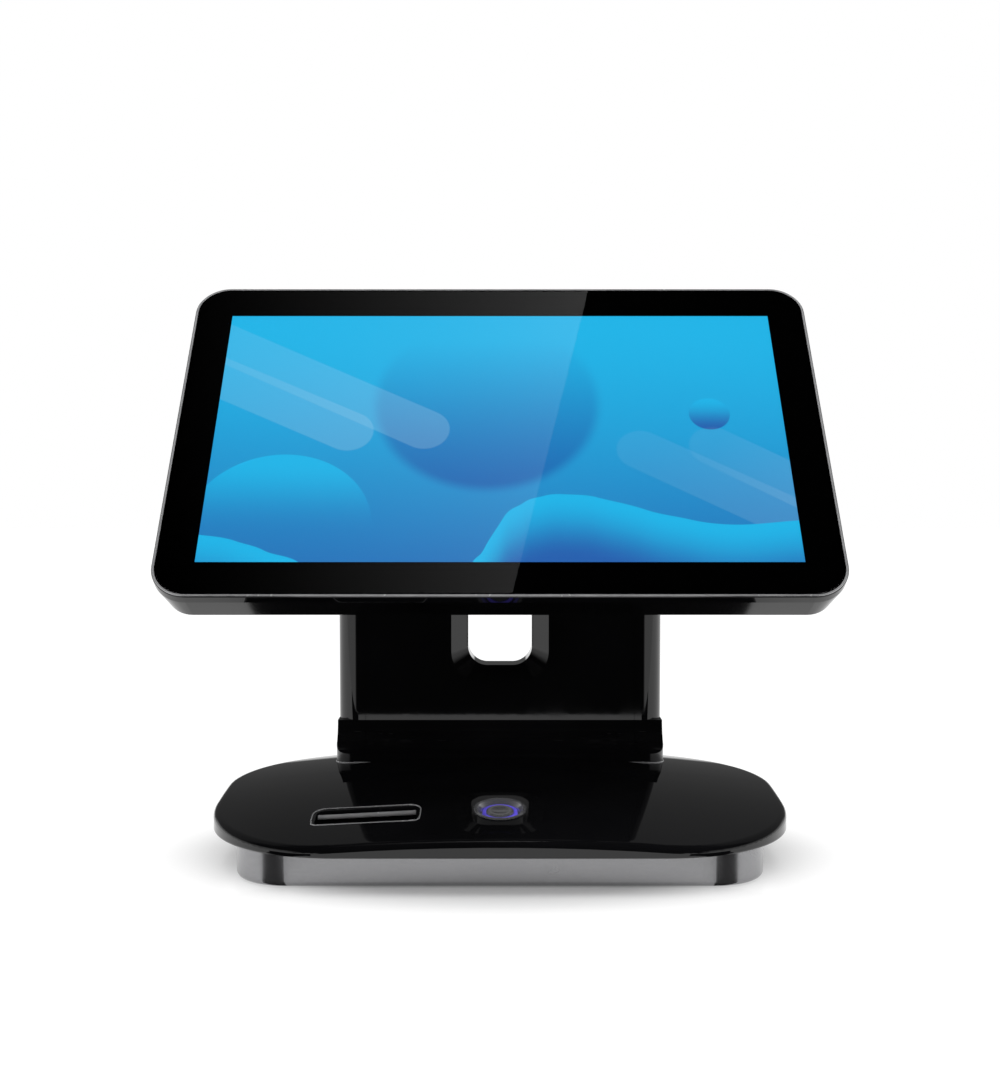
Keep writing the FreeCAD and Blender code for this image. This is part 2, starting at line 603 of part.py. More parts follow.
def make_card_parts():
    """Slot insert, its bar and the reader, drawn about the dome's surface point with +Z outwards."""
    w, d = CARD_MOUTH_W, CARD_MOUTH_D
    insert = card_pocket(CARD_SEAT - GAP / 2, CARD_DEPTH + 2, -0.4)
    insert = insert.cut(card_pocket(-0.8, CARD_DEPTH, 5))
    mouth_z = -CARD_DEPTH + 2.0
    mouth = block(-CARD_GAP_W / 2, CARD_GAP_W / 2, 0, d, mouth_z, mouth_z + CARD_GAP_H)
    insert = insert.cut(mouth)
    guide = block(-w / 2 + 5, w / 2 - 5, d / 2 - 6.5, d / 2 - 4.6, -CARD_DEPTH - 0.2, -CARD_DEPTH + 1.6)
    insert = fuse_all([insert, guide])
    bar = rod(CARD_BAR_R, w - 3.2, V(-w / 2 + 1.6, d / 2 - 5.2, -2.6), X_AXIS)
    y0 = d / 2 + CARD_SEAT
    reader_z0 = mouth_z + CARD_GAP_H + READER_ROOF - READER_H
    reader = block(-w / 2 - 2, w / 2 + 2, y0, y0 + READER_L, reader_z0, reader_z0 + READER_H)
    slot = block(-CARD_GAP_W / 2, CARD_GAP_W / 2, y0 - 1, y0 + READER_L - 6, mouth_z, mouth_z + CARD_GAP_H)
    return insert, bar, reader.cut(slot)


# ---------------------------------------------------------------- neck
def neck_section(z, half_w, y0, y1, inset):
    w, d = 2 * (half_w - inset), y1 - y0 - 2 * inset
    r = min(NECK_CORNER * (y1 - y0) / NECK_T, (y1 - y0) / 2 - 0.2) - inset
    return rounded_wire(w, d, r, z, 0, (y0 + y1) / 2)


def head_sections():
    """Half width, front and back of the neck's leaning head, bottom to top."""
    y0, y1, half = NECK_FRONT_Y, NECK_BACK_Y, NECK_W / 2
    top_z = HINGE_Z - 6.0
    chord = math.sqrt(BARREL_R ** 2 - (HINGE_Z - top_z) ** 2)
    end = (HINGE_Y - chord, HINGE_Y + chord, BARREL_HALF - 1.5)
    rows = []
    for share, lean, narrow in ((0, 0, 0), (0.14, 0.02, 0.08), (0.38, 0.2, 0.6), (0.66, 0.6, 0.96), (1, 1, 1)):
        z = NECK_STRAIGHT_Z + share * (top_z - NECK_STRAIGHT_Z)
        rows.append((z, half + narrow * (end[2] - half), y0 + lean * (end[0] - y0), y1 + lean * (end[1] - y1)))
    return rows


def neck_form(inset):
    """The neck without its foot: straight column, leaning head, round barrel."""
    low = BASE_LIP_Z + 6
    column = Part.Face(neck_section(low, NECK_W / 2, NECK_FRONT_Y, NECK_BACK_Y, inset))
    column = column.extrude(V(0, 0, NECK_STRAIGHT_Z - low))
    wires = [neck_section(z, half, y0, y1, inset) for z, half, y0, y1 in head_sections()]
    head = Part.makeLoft(wires, True, False)
    half = BARREL_HALF - inset
    barrel = rod(BARREL_R - inset, 2 * half, V(-half, HINGE_Y, HINGE_Z), X_AXIS)
    return column.fuse(head).fuse(barrel)


def foot_form(inset):
    """The foot's forward sweep in front of the column."""
    y0, y1 = FOOT_FRONT_Y + inset, NECK_BACK_Y - inset
    edge_z = dome_z(0, FOOT_FRONT_Y) + FOOT_EDGE_H - inset
    reach = NECK_FRONT_Y + inset - y0
    r = FOOT_SWEEP
    start = V(0, y0, edge_z)
    a = V(0, NECK_FRONT_Y + inset - r, edge_z)
    b = V(0, NECK_FRONT_Y + inset, edge_z + r)
    k = math.sqrt(0.5)
    mid = V(0, NECK_FRONT_Y + inset - r + r * k, edge_z + r - r * k)
    low = BASE_LIP_Z + 6
    edges = [Part.Arc(a, mid, b).toShape(), Part.makeLine(b, V(0, y1, edge_z + r)),
             Part.makeLine(V(0, y1, edge_z + r), V(0, y1, low)), Part.makeLine(V(0, y1, low), V(0, y0, low)),
             Part.makeLine(V(0, y0, low), start)]
    if reach > r + 1e-6:
        edges.append(Part.makeLine(start, a))
    half = NECK_W / 2 - inset
    side = Part.Face(Part.Wire(Part.__sortEdges__(edges))).translated(V(-half, 0, 0))
    sweep = side.extrude(V(2 * half, 0, 0))
    return sweep.common(neck_footprint(-inset, low, edge_z + r + 1))


def hole_form(inset):
    """The cable hole with its flared front rim, drawn in by inset."""
    w, h = HOLE_W - 2 * inset, HOLE_H - 2 * inset
    back = NECK_BACK_Y + 12.0
    straight = upright(rounded(w, h, HOLE_CORNER - inset, 0, back - NECK_FRONT_Y, 0, HOLE_ZC), back)
    rim_w, rim_h = RIM_W - 2 * inset, HOLE_H + 2 * RIM_DROP - 2 * inset
    small = rounded_wire(w, h, HOLE_CORNER - inset, 0, 0, HOLE_ZC)
    large = rounded_wire(rim_w, rim_h, HOLE_CORNER + 8 - inset, RIM_DEPTH + 1, 0, HOLE_ZC)
    rim = upright(Part.makeLoft([small, large], True, True), NECK_FRONT_Y + RIM_DEPTH)
    return straight.fuse(rim)


def make_neck_covers():
    """Front panel and rear wrap of the neck, standing on the dome."""
    outer = neck_form(0).fuse(foot_form(0))
    inner = neck_form(WALL).fuse(foot_form(WALL))
    shell = outer.cut(inner).cut(base_form(0, -GAP / 2, BASE_LIP_Z - 10))
    shell = shell.cut(hole_form(-WALL - GAP / 2))
    ends = rod(SHAFT_R + FIT, 2 * BARREL_HALF + 4, V(-BARREL_HALF - 2, HINGE_Y, HINGE_Z), X_AXIS)
    shell = shell.cut(ends)
    return largest(shell.common(front_zone(0))), largest(shell.cut(front_zone(SEAM)))


def front_zone(grow):
    """Everything that belongs to the front cover: ahead of the neck's middle, between the two seams."""
    split, half = SPLIT_Y + grow, PANEL_W / 2 + grow
    side = [(-BASE_D, 0), (split, 0), (split, NECK_STRAIGHT_Z), (HINGE_Y + grow, HINGE_Z),
            (HINGE_Y + grow, 2 * HINGE_Z), (-BASE_D, 2 * HINGE_Z)]
    points = [V(-half, y, z) for y, z in side]
    return Part.Face(Part.makePolygon(points + points[:1])).extrude(V(2 * half, 0, 0))


def largest(shape):
    """The biggest solid of a cut."""
    return max(shape.Solids, key=lambda s: s.Volume)


def make_hole_liner():
    outer = hole_form(-WALL)
    inner = hole_form(0)
    liner = outer.cut(inner)
    proud = 0.6
    keep = block(-RIM_W, RIM_W, NECK_FRONT_Y - proud, NECK_BACK_Y + proud, HOLE_Z0 - 40, HOLE_Z1 + 40)
    return largest(liner.common(keep))


def make_spine():
    """Steel spine from the tray's top up to the two hinge blocks, with a foot flange."""
    z0 = TRAY_TOP + BRIDGE_T
    y0 = SPINE_Y0
    plate = block(-SPINE_W / 2, SPINE_W / 2, y0, y0 + SPINE_T, z0, NECK_STRAIGHT_Z + 14)
    flange = block(-SPINE_W / 2, SPINE_W / 2, y0 - SPINE_FLANGE, y0 + SPINE_T, z0, z0 + SPINE_T)
    plate = plate.fuse(flange)
    grow = 2 * WALL + 8
    window = upright(rounded(HOLE_W + grow, HOLE_H + grow, HOLE_CORNER, 0, 30, 0, HOLE_ZC), y0 + 20)
    plate = plate.cut(window)
    arms = []
    lean_y0, lean_z0 = y0 + SPINE_T / 2, NECK_STRAIGHT_Z
    for side in (-1, 1):
        x = side * BLOCK_X
        points = [V(x - BLOCK_T / 2, lean_y0 - 4, lean_z0), V(x - BLOCK_T / 2, lean_y0 + 1.5, lean_z0),
                  V(x - BLOCK_T / 2, HINGE_Y + 12, HINGE_Z - 8), V(x - BLOCK_T / 2, HINGE_Y - 8, HINGE_Z - 8)]
        arm = Part.Face(Part.makePolygon(points + points[:1])).extrude(V(BLOCK_T, 0, 0))
        eye = rod(BARREL_R - WALL - 2, BLOCK_T, V(x - BLOCK_T / 2, HINGE_Y, HINGE_Z), X_AXIS)
        arms += [arm, eye]
    spine = fuse_all([plate] + arms)
    bore = rod(SHAFT_R + FIT, 2 * BARREL_HALF, V(-BARREL_HALF, HINGE_Y, HINGE_Z), X_AXIS)
    holes = [rod(BOLT_R + 0.2, SPINE_T + 4, V(x, y, z0 - 2)) for x, y in spine_bolts()]
    return cut_all(spine, [bore] + holes)


def spine_bolts():
    x, y = SPINE_W / 2 - 12, SPINE_Y0 - SPINE_FLANGE / 2
    return [(s * k, y) for s in (-1, 1) for k in (x, x / 3)]


def make_bridge():
    """Steel bridge lying across the tray's flange under the spine."""
    inset = WALL + GAP + 1
    plan = rounded(BASE_W - 2 * inset, BASE_D - 2 * inset, BASE_CORNER - inset, TRAY_TOP, TRAY_TOP + BRIDGE_T)
    y0, y1 = SPINE_Y0 - SPINE_FLANGE - 4, SPINE_Y0 + SPINE_T + 3
    strip = block(-BASE_W, BASE_W, y0, y1, TRAY_TOP - 1, TRAY_TOP + BRIDGE_T + 1)
    holes = [rod(BOLT_R, BRIDGE_T + 2, V(x, y, TRAY_TOP - 1)) for x, y in spine_bolts()]
    return cut_all(plan.common(strip), holes)


def make_spine_bolts():
    top = TRAY_TOP + BRIDGE_T + SPINE_T
    length = SPINE_T + BRIDGE_T + 1
    return group([pan_screw(V(x, y, top), Z_AXIS, length, BOLT_R - FIT, BOLT_HEAD_R, BOLT_HEAD_T)
                  for x, y in spine_bolts()])


def make_shell_screws():
    """Screws up through the tray's flange into the shell's bosses."""
    down = V(0, 0, -1)
    return group([pan_screw(V(x, y, BASE_LIP_Z), down, BOSS_SCREW_L, SCREW_R - FIT) for x, y in boss_places()])


# ---------------------------------------------------------------- hinge
def both_ends(maker):
    """A hinge piece and its mirror image at the other end."""
    piece = maker()
    return group([piece, piece.mirror(V(0, 0, 0), X_AXIS)])


def hinge_pipe(outer, inner, x0, length):
    return pipe(outer, inner, length, V(x0, HINGE_Y, HINGE_Z), X_AXIS)


def make_hinge_shaft():
    half = ARM_X1 + SPRING_T + NUT_T + 1.5
    shaft = rod(SHAFT_R, 2 * half, V(-half, HINGE_Y, HINGE_Z), X_AXIS)
    return shaft.makeChamfer(0.8, [e for e in shaft.Edges if e.Length < 2 * math.pi * SHAFT_R + 1
                                   and e.BoundBox.XLength < 0.01])


def make_hinge_nut():
    nut = hexagon(NUT_AF, NUT_T, V(ARM_X1 + SPRING_T + 0.1, HINGE_Y, HINGE_Z), X_AXIS)
    return nut.cut(rod(SHAFT_R + FIT, 40, V(ARM_X1 - 5, HINGE_Y, HINGE_Z), X_AXIS))


def make_hinge_cap():
    """Round cap closing the arm's outer face over the nut."""
    depth = SPRING_T + NUT_T + CAP_CLEAR
    cap = rod(BARREL_R - 2, depth + CAP_T, V(ARM_X1, HINGE_Y, HINGE_Z), X_AXIS)
    cap = cap.makeFillet(2.0, [e for e in cap.Edges if e.BoundBox.XMin > ARM_X1 + depth])
    return cap.cut(rod(BARREL_R - 2 - 3 * CAP_T, depth, V(ARM_X1 - 0.01, HINGE_Y, HINGE_Z), X_AXIS))


# ---------------------------------------------------------------- screen, drawn flat with the glass at z = 0
def to_screen(shape):
    """Carry a shape from the flat screen frame to its tilted place."""
    shape = shape.copy()
    shape.Placement = FreeCAD.Placement(V(0, SCREEN_Y, SCREEN_Z), FreeCAD.Rotation(X_AXIS, TILT)).multiply(
        shape.Placement)
    return shape


def hinge_in_screen():
    """The hinge axis in the flat screen frame."""
    a, dy, dz = math.radians(TILT), HINGE_Y - SCREEN_Y, HINGE_Z - SCREEN_Z
    return dy * math.cos(a) + dz * math.sin(a), dz * math.cos(a) - dy * math.sin(a)


def make_glass():
    glass = rounded(GLASS_W, GLASS_H, GLASS_CORNER, -GLASS_T, 0, 0, -HOUSING_DOWN)
    return glass.makeChamfer(GLASS_EDGE, [e for e in glass.Edges if e.BoundBox.ZMin > -0.01])


def make_mask():
    return ring_plate(GLASS_W - 0.6, GLASS_H - 0.6, GLASS_CORNER - 0.3, PICTURE_W, PICTURE_H, 0.6,
                      -GLASS_T - MASK_T, -GLASS_T, -HOUSING_DOWN, 0)


def make_gasket():
    return ring_plate(MODULE_W, MODULE_H, 2, PICTURE_W + 2, PICTURE_H + 2, 1, MODULE_Z, MODULE_Z + GASKET_T)


def make_lcd_tray():
    w, h, t = MODULE_W + 2 * TRAY_SIDE, MODULE_H + 2 * TRAY_SIDE, TRAY_T
    tray = rounded(w, h, 3, TRAY_Z, MODULE_Z)
    return tray.cut(rounded(w - 2 * t, h - 2 * t, 2, TRAY_Z + t, MODULE_Z + 1))


def make_chassis():
    plate = rounded(WINDOW_W - 3, WINDOW_H - 3, 4, CHASSIS_Z, TRAY_Z)
    holes = [rod(BOLT_R + 0.3, SHEET + 2, V(x, y, CHASSIS_Z - 1)) for x, y in bracket_bolts()]
    slots = [rounded(60, 10, 4.9, CHASSIS_Z - 1, TRAY_Z + 1, sx * 110, -78) for sx in (-1, 1)]
    return cut_all(plate, holes + slots)


def bracket_bolts():
    y_h = hinge_in_screen()[0]
    y = BRACKET_H / 2 - BRACKET_BOLT_IN
    return [(sx * BRACKET_BOLT_X, y_h + sy * y) for sx in (-1, 1) for sy in (-1, 1)]


def make_chassis_posts():
    """Threaded posts between the screen's chassis and the housing floor, for the bracket's bolts."""
    length = CHASSIS_Z - HOUSING_FLOOR
    return group([pipe(POST_R, BOLT_R, length, V(x, y, HOUSING_FLOOR)) for x, y in bracket_bolts()])


def board_on_posts(w, h, x, y, chips):
    """Circuit board on four posts behind the chassis, its parts facing back."""
    back = SCREEN_BOARD_Z
    board = rounded(w, h, 2, back, back + BOARD_T, x, y)
    corners = [(x + sx * (w / 2 - 4), y + sy * (h / 2 - 4)) for sx in (-1, 1) for sy in (-1, 1)]
    parts = [rod(2.2, BOARD_POST, V(px, py, back + BOARD_T)) for px, py in corners]
    parts += [block(x + cx - cw / 2, x + cx + cw / 2, y + cy - ch / 2, y + cy + ch / 2, back - ct, back)
              for cx, cy, cw, ch, ct in chips]
    return fuse_all([board] + parts)


def make_screen_boards():
    """Display driver board and touch controller, their parts within the depth of the housing."""
    tall, middle, flat = 0.58 * CHIP_ROOM, 0.46 * CHIP_ROOM, 0.2 * CHIP_ROOM
    driver = [(-30, 10, 16, 16, flat), (14, 12, 10, 10, flat), (0, -20, 60, 6, middle), (40, 4, 12, 18, tall)]
    touch = [(0, 0, 9, 9, flat), (18, -2, 12, 5, middle)]
    return board_on_posts(110, 60, -20, -45, driver), board_on_posts(62, 24, 110, -46, touch)


def make_speakers():
    """Two speaker boxes on the housing floor, their cones facing the chassis."""
    depth = CHASSIS_Z - SPEAKER_CLEAR - HOUSING_FLOOR
    boxes = []
    for side in (-1, 1):
        x = side * SPEAKER_X
        body = rounded(SPEAKER_W, SPEAKER_H, 4, HOUSING_FLOOR, HOUSING_FLOOR + depth, x, SPEAKER_Y)
        boxes.append(body.fuse(rod(9.0, 0.8, V(x, SPEAKER_Y, HOUSING_FLOOR + depth))))
    return group(boxes)


def make_front_frame():
    frame = rounded(HOUSING_W, HOUSING_H, HOUSING_CORNER, -FRAME_T, -GAP, 0, -HOUSING_DOWN)
    edge = [e for e in frame.Edges if e.BoundBox.ZMin > -GAP - 0.01]
    frame = frame.makeFillet(0.8, edge)
    w, h = GLASS_W + GAP, GLASS_H + GAP
    seat = rounded(w, h, GLASS_CORNER + GAP / 2, -GLASS_T - MASK_T, 1, 0, -HOUSING_DOWN)
    frame = frame.cut(seat).cut(rounded(WINDOW_W, WINDOW_H, 4, -FRAME_T - 1, 0))
    return cut_all(frame, [rod(SCREW_R - 0.2, FRAME_T, V(x, y, -FRAME_T - 3.5)) for x, y in housing_screws()])


def housing_screws():
    x, y = HOUSING_W / 2 - HOUSING_SCREW_IN, HOUSING_H / 2 - HOUSING_SCREW_IN
    return ([(sx * x, sy * SIDE_SCREW_Y) for sx in (-1, 1) for sy in (-1, 1)]
            + [(sx * END_SCREW_X, sy * y - HOUSING_DOWN) for sx in (-1, 1) for sy in (-1, 1)])


def housing_form(inset, z_front, z_back):
    """The drafted rear body between two depths, drawn in by inset."""
    slope = HOUSING_DRAFT / (HOUSING_T - FRAME_T)

    def outline(z):
        draw = inset + slope * (-FRAME_T - z)
        w, h = HOUSING_W - 2 * draw, HOUSING_H - 2 * draw
        return rounded_wire(w, h, HOUSING_CORNER - draw, z, 0, -HOUSING_DOWN)
    return Part.makeLoft([outline(z_back), outline(z_front)], True, True)


def vent_slots():
    """Rounded air slots through the housing's back: a band near the top and two shorter ones low down."""
    bands = [(0, HOUSING_H / 2 - 30, 25), (-118, 34 - HOUSING_H / 2, 9), (118, 34 - HOUSING_H / 2, 9)]
    slots = []
    for middle, y, count in bands:
        for i in range(count):
            x = middle + (i - (count - 1) / 2) * VENT_PITCH
            slots.append(rounded(VENT_W, VENT_L, VENT_W / 2 - 0.05, -HOUSING_T - 1, HOUSING_FLOOR + 1, x, y))
    return slots


def make_housing():
    """Rear housing, and the cable cover that fills its lower middle."""
    outer = housing_form(0, -FRAME_T, -HOUSING_T)
    outer = outer.makeFillet(2.5, [e for e in outer.Edges if e.BoundBox.ZMax < -HOUSING_T + 0.01])
    shell = outer.cut(housing_form(WALL, -FRAME_T + 0.01, HOUSING_FLOOR))
    low = -HOUSING_DOWN - HOUSING_H / 2
    cover_zone = block(-CABLE_COVER_W / 2, CABLE_COVER_W / 2, low - 5, low + CABLE_COVER_H,
                       -HOUSING_T - 5, -FRAME_T - 2.0)
    cover = shell.common(cover_zone)
    s = SEAM
    opening = block(-CABLE_COVER_W / 2 - s, CABLE_COVER_W / 2 + s, low - 5, low + CABLE_COVER_H + s,
                    -HOUSING_T - 5, -FRAME_T - 2.0 + s)
    housing = shell.cut(opening)
    posts = [rod(3.6, HOUSING_T - FRAME_T - 1, V(x, y, -HOUSING_T + 1)) for x, y in housing_screws()]
    housing = fuse_all([housing] + [p.common(housing_form(0.5, -FRAME_T, -HOUSING_T + 1)) for p in posts])
    tools = [rod(SCREW_R + 0.1, HOUSING_T, V(x, y, -HOUSING_T - 1)) for x, y in housing_screws()]
    sink_r, sink_depth = SCREW_HEAD_R + 0.2, SCREW_HEAD_T + 0.4
    tools += [rod(sink_r, sink_depth, V(x, y, -HOUSING_T - 0.2)) for x, y in housing_screws()]
    tools += [rod(BOLT_R + 0.2, 8, V(x, y, -HOUSING_T - 2)) for x, y in bracket_bolts()]
    return cut_all(housing, tools + vent_slots()), largest(cover)


def make_housing_screws():
    seat = -HOUSING_T + SCREW_HEAD_T + 0.2
    return group([pan_screw(V(x, y, seat), V(0, 0, -1), HOUSING_T - FRAME_T, SCREW_R - 0.2 - FIT)
                  for x, y in housing_screws()])


def make_tilt_bracket():
    """Cast bracket: a plate on the housing's back and two arms to the hinge."""
    y_h, z_h = hinge_in_screen()
    back = -HOUSING_T
    plate = rounded(BRACKET_W, BRACKET_H, BRACKET_CORNER, back - BRACKET_T, back, 0, y_h)
    plate = plate.makeFillet(1.5, [e for e in plate.Edges if e.BoundBox.ZMax < back - BRACKET_T + 0.01])
    bodies = [plate]
    for x0 in (ARM_X0, -ARM_X1):
        reach, r = BRACKET_H / 2 - 6, BARREL_R
        points = [V(x0, y_h - reach, back - 1), V(x0, y_h + reach, back - 1),
                  V(x0, y_h + r * 0.95, z_h + r * 0.31), V(x0, y_h - r * 0.95, z_h + r * 0.31)]
        web = Part.Face(Part.makePolygon(points + points[:1])).extrude(V(ARM_T, 0, 0))
        bodies += [web, rod(r, ARM_T, V(x0, y_h, z_h), X_AXIS)]
    bracket = fuse_all(bodies)
    bore = rod(SHAFT_R + FIT, 2 * ARM_X1 + 2, V(-ARM_X1 - 1, y_h, z_h), X_AXIS)
    holes = [rod(BOLT_R + 0.2, BRACKET_T + 4, V(x, y, back - BRACKET_T - 2)) for x, y in bracket_bolts()]
    return cut_all(bracket, [bore] + holes)


def make_bracket_bolts():
    seat = -HOUSING_T - BRACKET_T
    length = BRACKET_T + WALL + 9
    return group([pan_screw(V(x, y, seat), V(0, 0, -1), length, BOLT_R - FIT, BOLT_HEAD_R, BOLT_HEAD_T)
                  for x, y in bracket_bolts()])


# ---------------------------------------------------------------- the whole terminal
def base_parts():
    socket, module = make_memory()
    dish, led, button, switch, cage = [on_dome(p, 0, BUTTON_Y) for p in make_button_parts()]
    insert, bar, reader = [on_dome(p, CARD_X, CARD_Y) for p in make_card_parts()]
    parts = {
        "plinth_tray": make_plinth_tray(), "rubber_feet": make_feet(), "weight_plate": make_weight_plate(),
        "board_standoffs": make_standoffs(), "main_board": make_main_board(),
        "board_screws": make_board_screws(), "processor": make_processor(), "heatsink": make_heatsink(),
        "memory_socket": socket, "memory_module": module, "ssd_drive": make_ssd(),
        "io_panel": make_io_panel(), "base_shell": make_base_shell(), "shell_screws": make_shell_screws(),
        "neck_bridge": make_bridge(), "button_dish": dish, "light_ring": led, "power_button": button,
        "switch_board": switch, "switch_cage": cage, "card_slot_insert": insert, "card_roller": bar,
        "card_reader": reader,
    }
    for name, x, w, h, kind in SOCKETS:
        parts[name] = make_socket(x, w, h, kind)
    return parts


def neck_parts():
    front, rear = make_neck_covers()
    bore = SHAFT_R + FIT
    return {
        "neck_spine": make_spine(), "spine_bolts": make_spine_bolts(), "neck_front_cover": front,
        "neck_rear_cover": rear, "neck_hole_liner": make_hole_liner(), "hinge_shaft": make_hinge_shaft(),
        "friction_discs": both_ends(lambda: hinge_pipe(DISC_R, bore, BARREL_HALF + GAP / 3, DISC_T)),
        "spring_washers": both_ends(lambda: hinge_pipe(DISC_R - 3, bore, ARM_X1 + FIT, SPRING_T - FIT)),
        "hinge_nuts": both_ends(make_hinge_nut),
    }


def screen_parts():
    housing, cover = make_housing()
    driver, touch = make_screen_boards()
    panel_back = MODULE_Z - PANEL_T
    flat = {
        "touch_glass": make_glass(), "glass_mask": make_mask(), "panel_gasket": make_gasket(),
        "lcd_panel": rounded(MODULE_W, MODULE_H, 1, panel_back, MODULE_Z),
        "backlight": rounded(MODULE_W, MODULE_H, 1, panel_back - LIGHT_T, panel_back),
        "lcd_tray": make_lcd_tray(), "screen_chassis": make_chassis(), "chassis_posts": make_chassis_posts(),
        "driver_board": driver, "touch_board": touch, "speakers": make_speakers(),
        "front_frame": make_front_frame(), "rear_housing": housing, "cable_cover": cover,
        "housing_screws": make_housing_screws(), "tilt_bracket": make_tilt_bracket(),
        "bracket_bolts": make_bracket_bolts(),
    }
    parts = {name: to_screen(shape) for name, shape in flat.items()}
    parts["hinge_caps"] = both_ends(make_hinge_cap)
    return parts


def main():
    os.makedirs("parts", exist_ok=True)
    parts = {**base_parts(), **neck_parts(), **screen_parts()}
    for name, shape in parts.items():
        if not shape.isValid() or not shape.Solids:
            raise ValueError(f"{name} did not build as valid solids")
        shape.exportStep(f"parts/{name}.step")
        box = shape.BoundBox
        print(f"{name}: {len(shape.Solids)} solid, {shape.Volume / 1000:.1f} cm3, "
              f"{box.XMin:.1f} {box.XMax:.1f}  {box.YMin:.1f} {box.YMax:.1f}  {box.ZMin:.1f} {box.ZMax:.1f}")
    print(len(parts), "sub-parts written")


main()
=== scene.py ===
"""Finishes, fine pieces and studio for the counter-top touchscreen till, laid out as a Blender add-on.

Lengths are metres unless a property says otherwise.
"""
import math

import bpy
import bmesh
from bpy.props import FloatProperty, FloatVectorProperty, IntProperty, PointerProperty
from mathutils import Matrix, Vector


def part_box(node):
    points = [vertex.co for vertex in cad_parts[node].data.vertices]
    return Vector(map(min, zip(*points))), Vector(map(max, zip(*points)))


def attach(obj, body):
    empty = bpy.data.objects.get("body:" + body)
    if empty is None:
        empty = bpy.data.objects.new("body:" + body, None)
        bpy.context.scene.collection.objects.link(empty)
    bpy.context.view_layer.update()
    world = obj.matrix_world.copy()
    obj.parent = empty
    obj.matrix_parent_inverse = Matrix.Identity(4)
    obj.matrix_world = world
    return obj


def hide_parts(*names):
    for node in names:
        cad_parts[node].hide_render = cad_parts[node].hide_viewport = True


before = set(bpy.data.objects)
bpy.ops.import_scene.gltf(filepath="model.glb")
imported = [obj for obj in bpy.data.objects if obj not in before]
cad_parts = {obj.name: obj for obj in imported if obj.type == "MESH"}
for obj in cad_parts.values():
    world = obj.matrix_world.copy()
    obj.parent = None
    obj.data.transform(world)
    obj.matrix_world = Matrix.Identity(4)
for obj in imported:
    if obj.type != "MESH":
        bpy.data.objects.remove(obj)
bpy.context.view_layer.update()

bl_info = {
    "name": "Touchscreen till",
    "version": (1, 0, 0),
    "blender": (4, 5, 0),
    "location": "3D View > Sidebar > Till",
    "description": "Finishes, fine pieces and studio for a counter-top touchscreen till",
    "category": "Object",
}


# ---------------------------------------------------------------- shader arithmetic
class Wire:
    """A socket in a node tree; arithmetic on it adds Math nodes."""

    def __init__(self, tree, socket):
        self.tree, self.socket = tree, socket

    def _math(self, operation, *values):
        return node(self.tree, "ShaderNodeMath", {"operation": operation}, dict(enumerate(values)))

    def __add__(self, other):
        return self._math("ADD", self, other)

    def __radd__(self, other):
        return self._math("ADD", other, self)

    def __sub__(self, other):
        return self._math("SUBTRACT", self, other)

    def __rsub__(self, other):
        return self._math("SUBTRACT", other, self)

    def __mul__(self, other):
        return self._math("MULTIPLY", self, other)

    def __rmul__(self, other):
        return self._math("MULTIPLY", other, self)

    def __truediv__(self, other):
        return self._math("DIVIDE", self, other)

    def __pow__(self, other):
        return self._math("POWER", self, other)

    def __abs__(self):
        return self._math("ABSOLUTE", self)

    def least(self, other):
        return self._math("MINIMUM", self, other)

    def most(self, other):
        return self._math("MAXIMUM", self, other)

    def root(self):
        return self._math("SQRT", self.most(0.0))

    def step(self, low, high):
        """0 below low, 1 above high, smooth between; low may be the greater one."""
        return node(self.tree, "ShaderNodeMapRange", {"interpolation_type": "SMOOTHSTEP"},
                    {"Value": self, "From Min": low, "From Max": high})


def node(tree, kind, settings=None, sockets=None, out=0):
    """Add one node: its settings first, then values or links into its sockets; returns one output."""
    made = tree.nodes.new(kind)
    for key, value in (settings or {}).items():
        if key == "stops":
            ramp = made.color_ramp
            ramp.interpolation = "CARDINAL"
            while len(ramp.elements) < len(value):
                ramp.elements.new(0.5)
            for element, (place, level) in zip(ramp.elements, value):
                element.position, element.color = place, (level, level, level, 1.0)
        else:
            setattr(made, key, value)
    for key, value in (sockets or {}).items():
        if isinstance(value, Wire):
            tree.links.new(value.socket, made.inputs[key])
        else:
            made.inputs[key].default_value = value
    return Wire(tree, made.outputs[out])


def mix(tree, share, first, second):
    """Colour between two colours."""
    def colour(value):
        return (*value, 1.0) if isinstance(value, tuple) and len(value) == 3 else value
    return node(tree, "ShaderNodeMix", {"data_type": "RGBA"},
                {0: share, 6: colour(first), 7: colour(second)}, out=2)


def noise(tree, place, scale, detail=2.0, rough=0.5):
    return node(tree, "ShaderNodeTexNoise", None,
                {"Vector": place, "Scale": scale, "Detail": detail, "Roughness": rough})


def parts_of(tree, place):
    """X, Y and Z of a vector."""
    split = node(tree, "ShaderNodeSeparateXYZ", None, {0: place}).socket.node
    return [Wire(tree, split.outputs[i]) for i in range(3)]


def finish(name, colour, rough, metal=0.0, bump=None, depth=0.0001, **fixed):
    """A Principled material; colour, rough, metal and bump are values or functions of (tree, place)."""
    material = bpy.data.materials.get(name)
    if material:
        return material
    material = bpy.data.materials.new(name)
    material.use_nodes = True
    tree = material.node_tree
    shader = tree.nodes["Principled BSDF"]
    place = node(tree, "ShaderNodeTexCoord", out=3)

    def feed(key, value):
        value = value(tree, place) if callable(value) else value
        if isinstance(value, Wire):
            tree.links.new(value.socket, shader.inputs[key])
        else:
            shader.inputs[key].default_value = (*value, 1.0) if isinstance(value, tuple) else value

    feed("Base Color", colour)
    feed("Roughness", rough)
    feed("Metallic", metal)
    if bump:
        raised = node(tree, "ShaderNodeBump", None, {"Distance": depth, "Height": bump(tree, place)})
        tree.links.new(raised.socket, shader.inputs["Normal"])
    for key, value in fixed.items():
        feed(key.replace("_", " "), value)
    return material


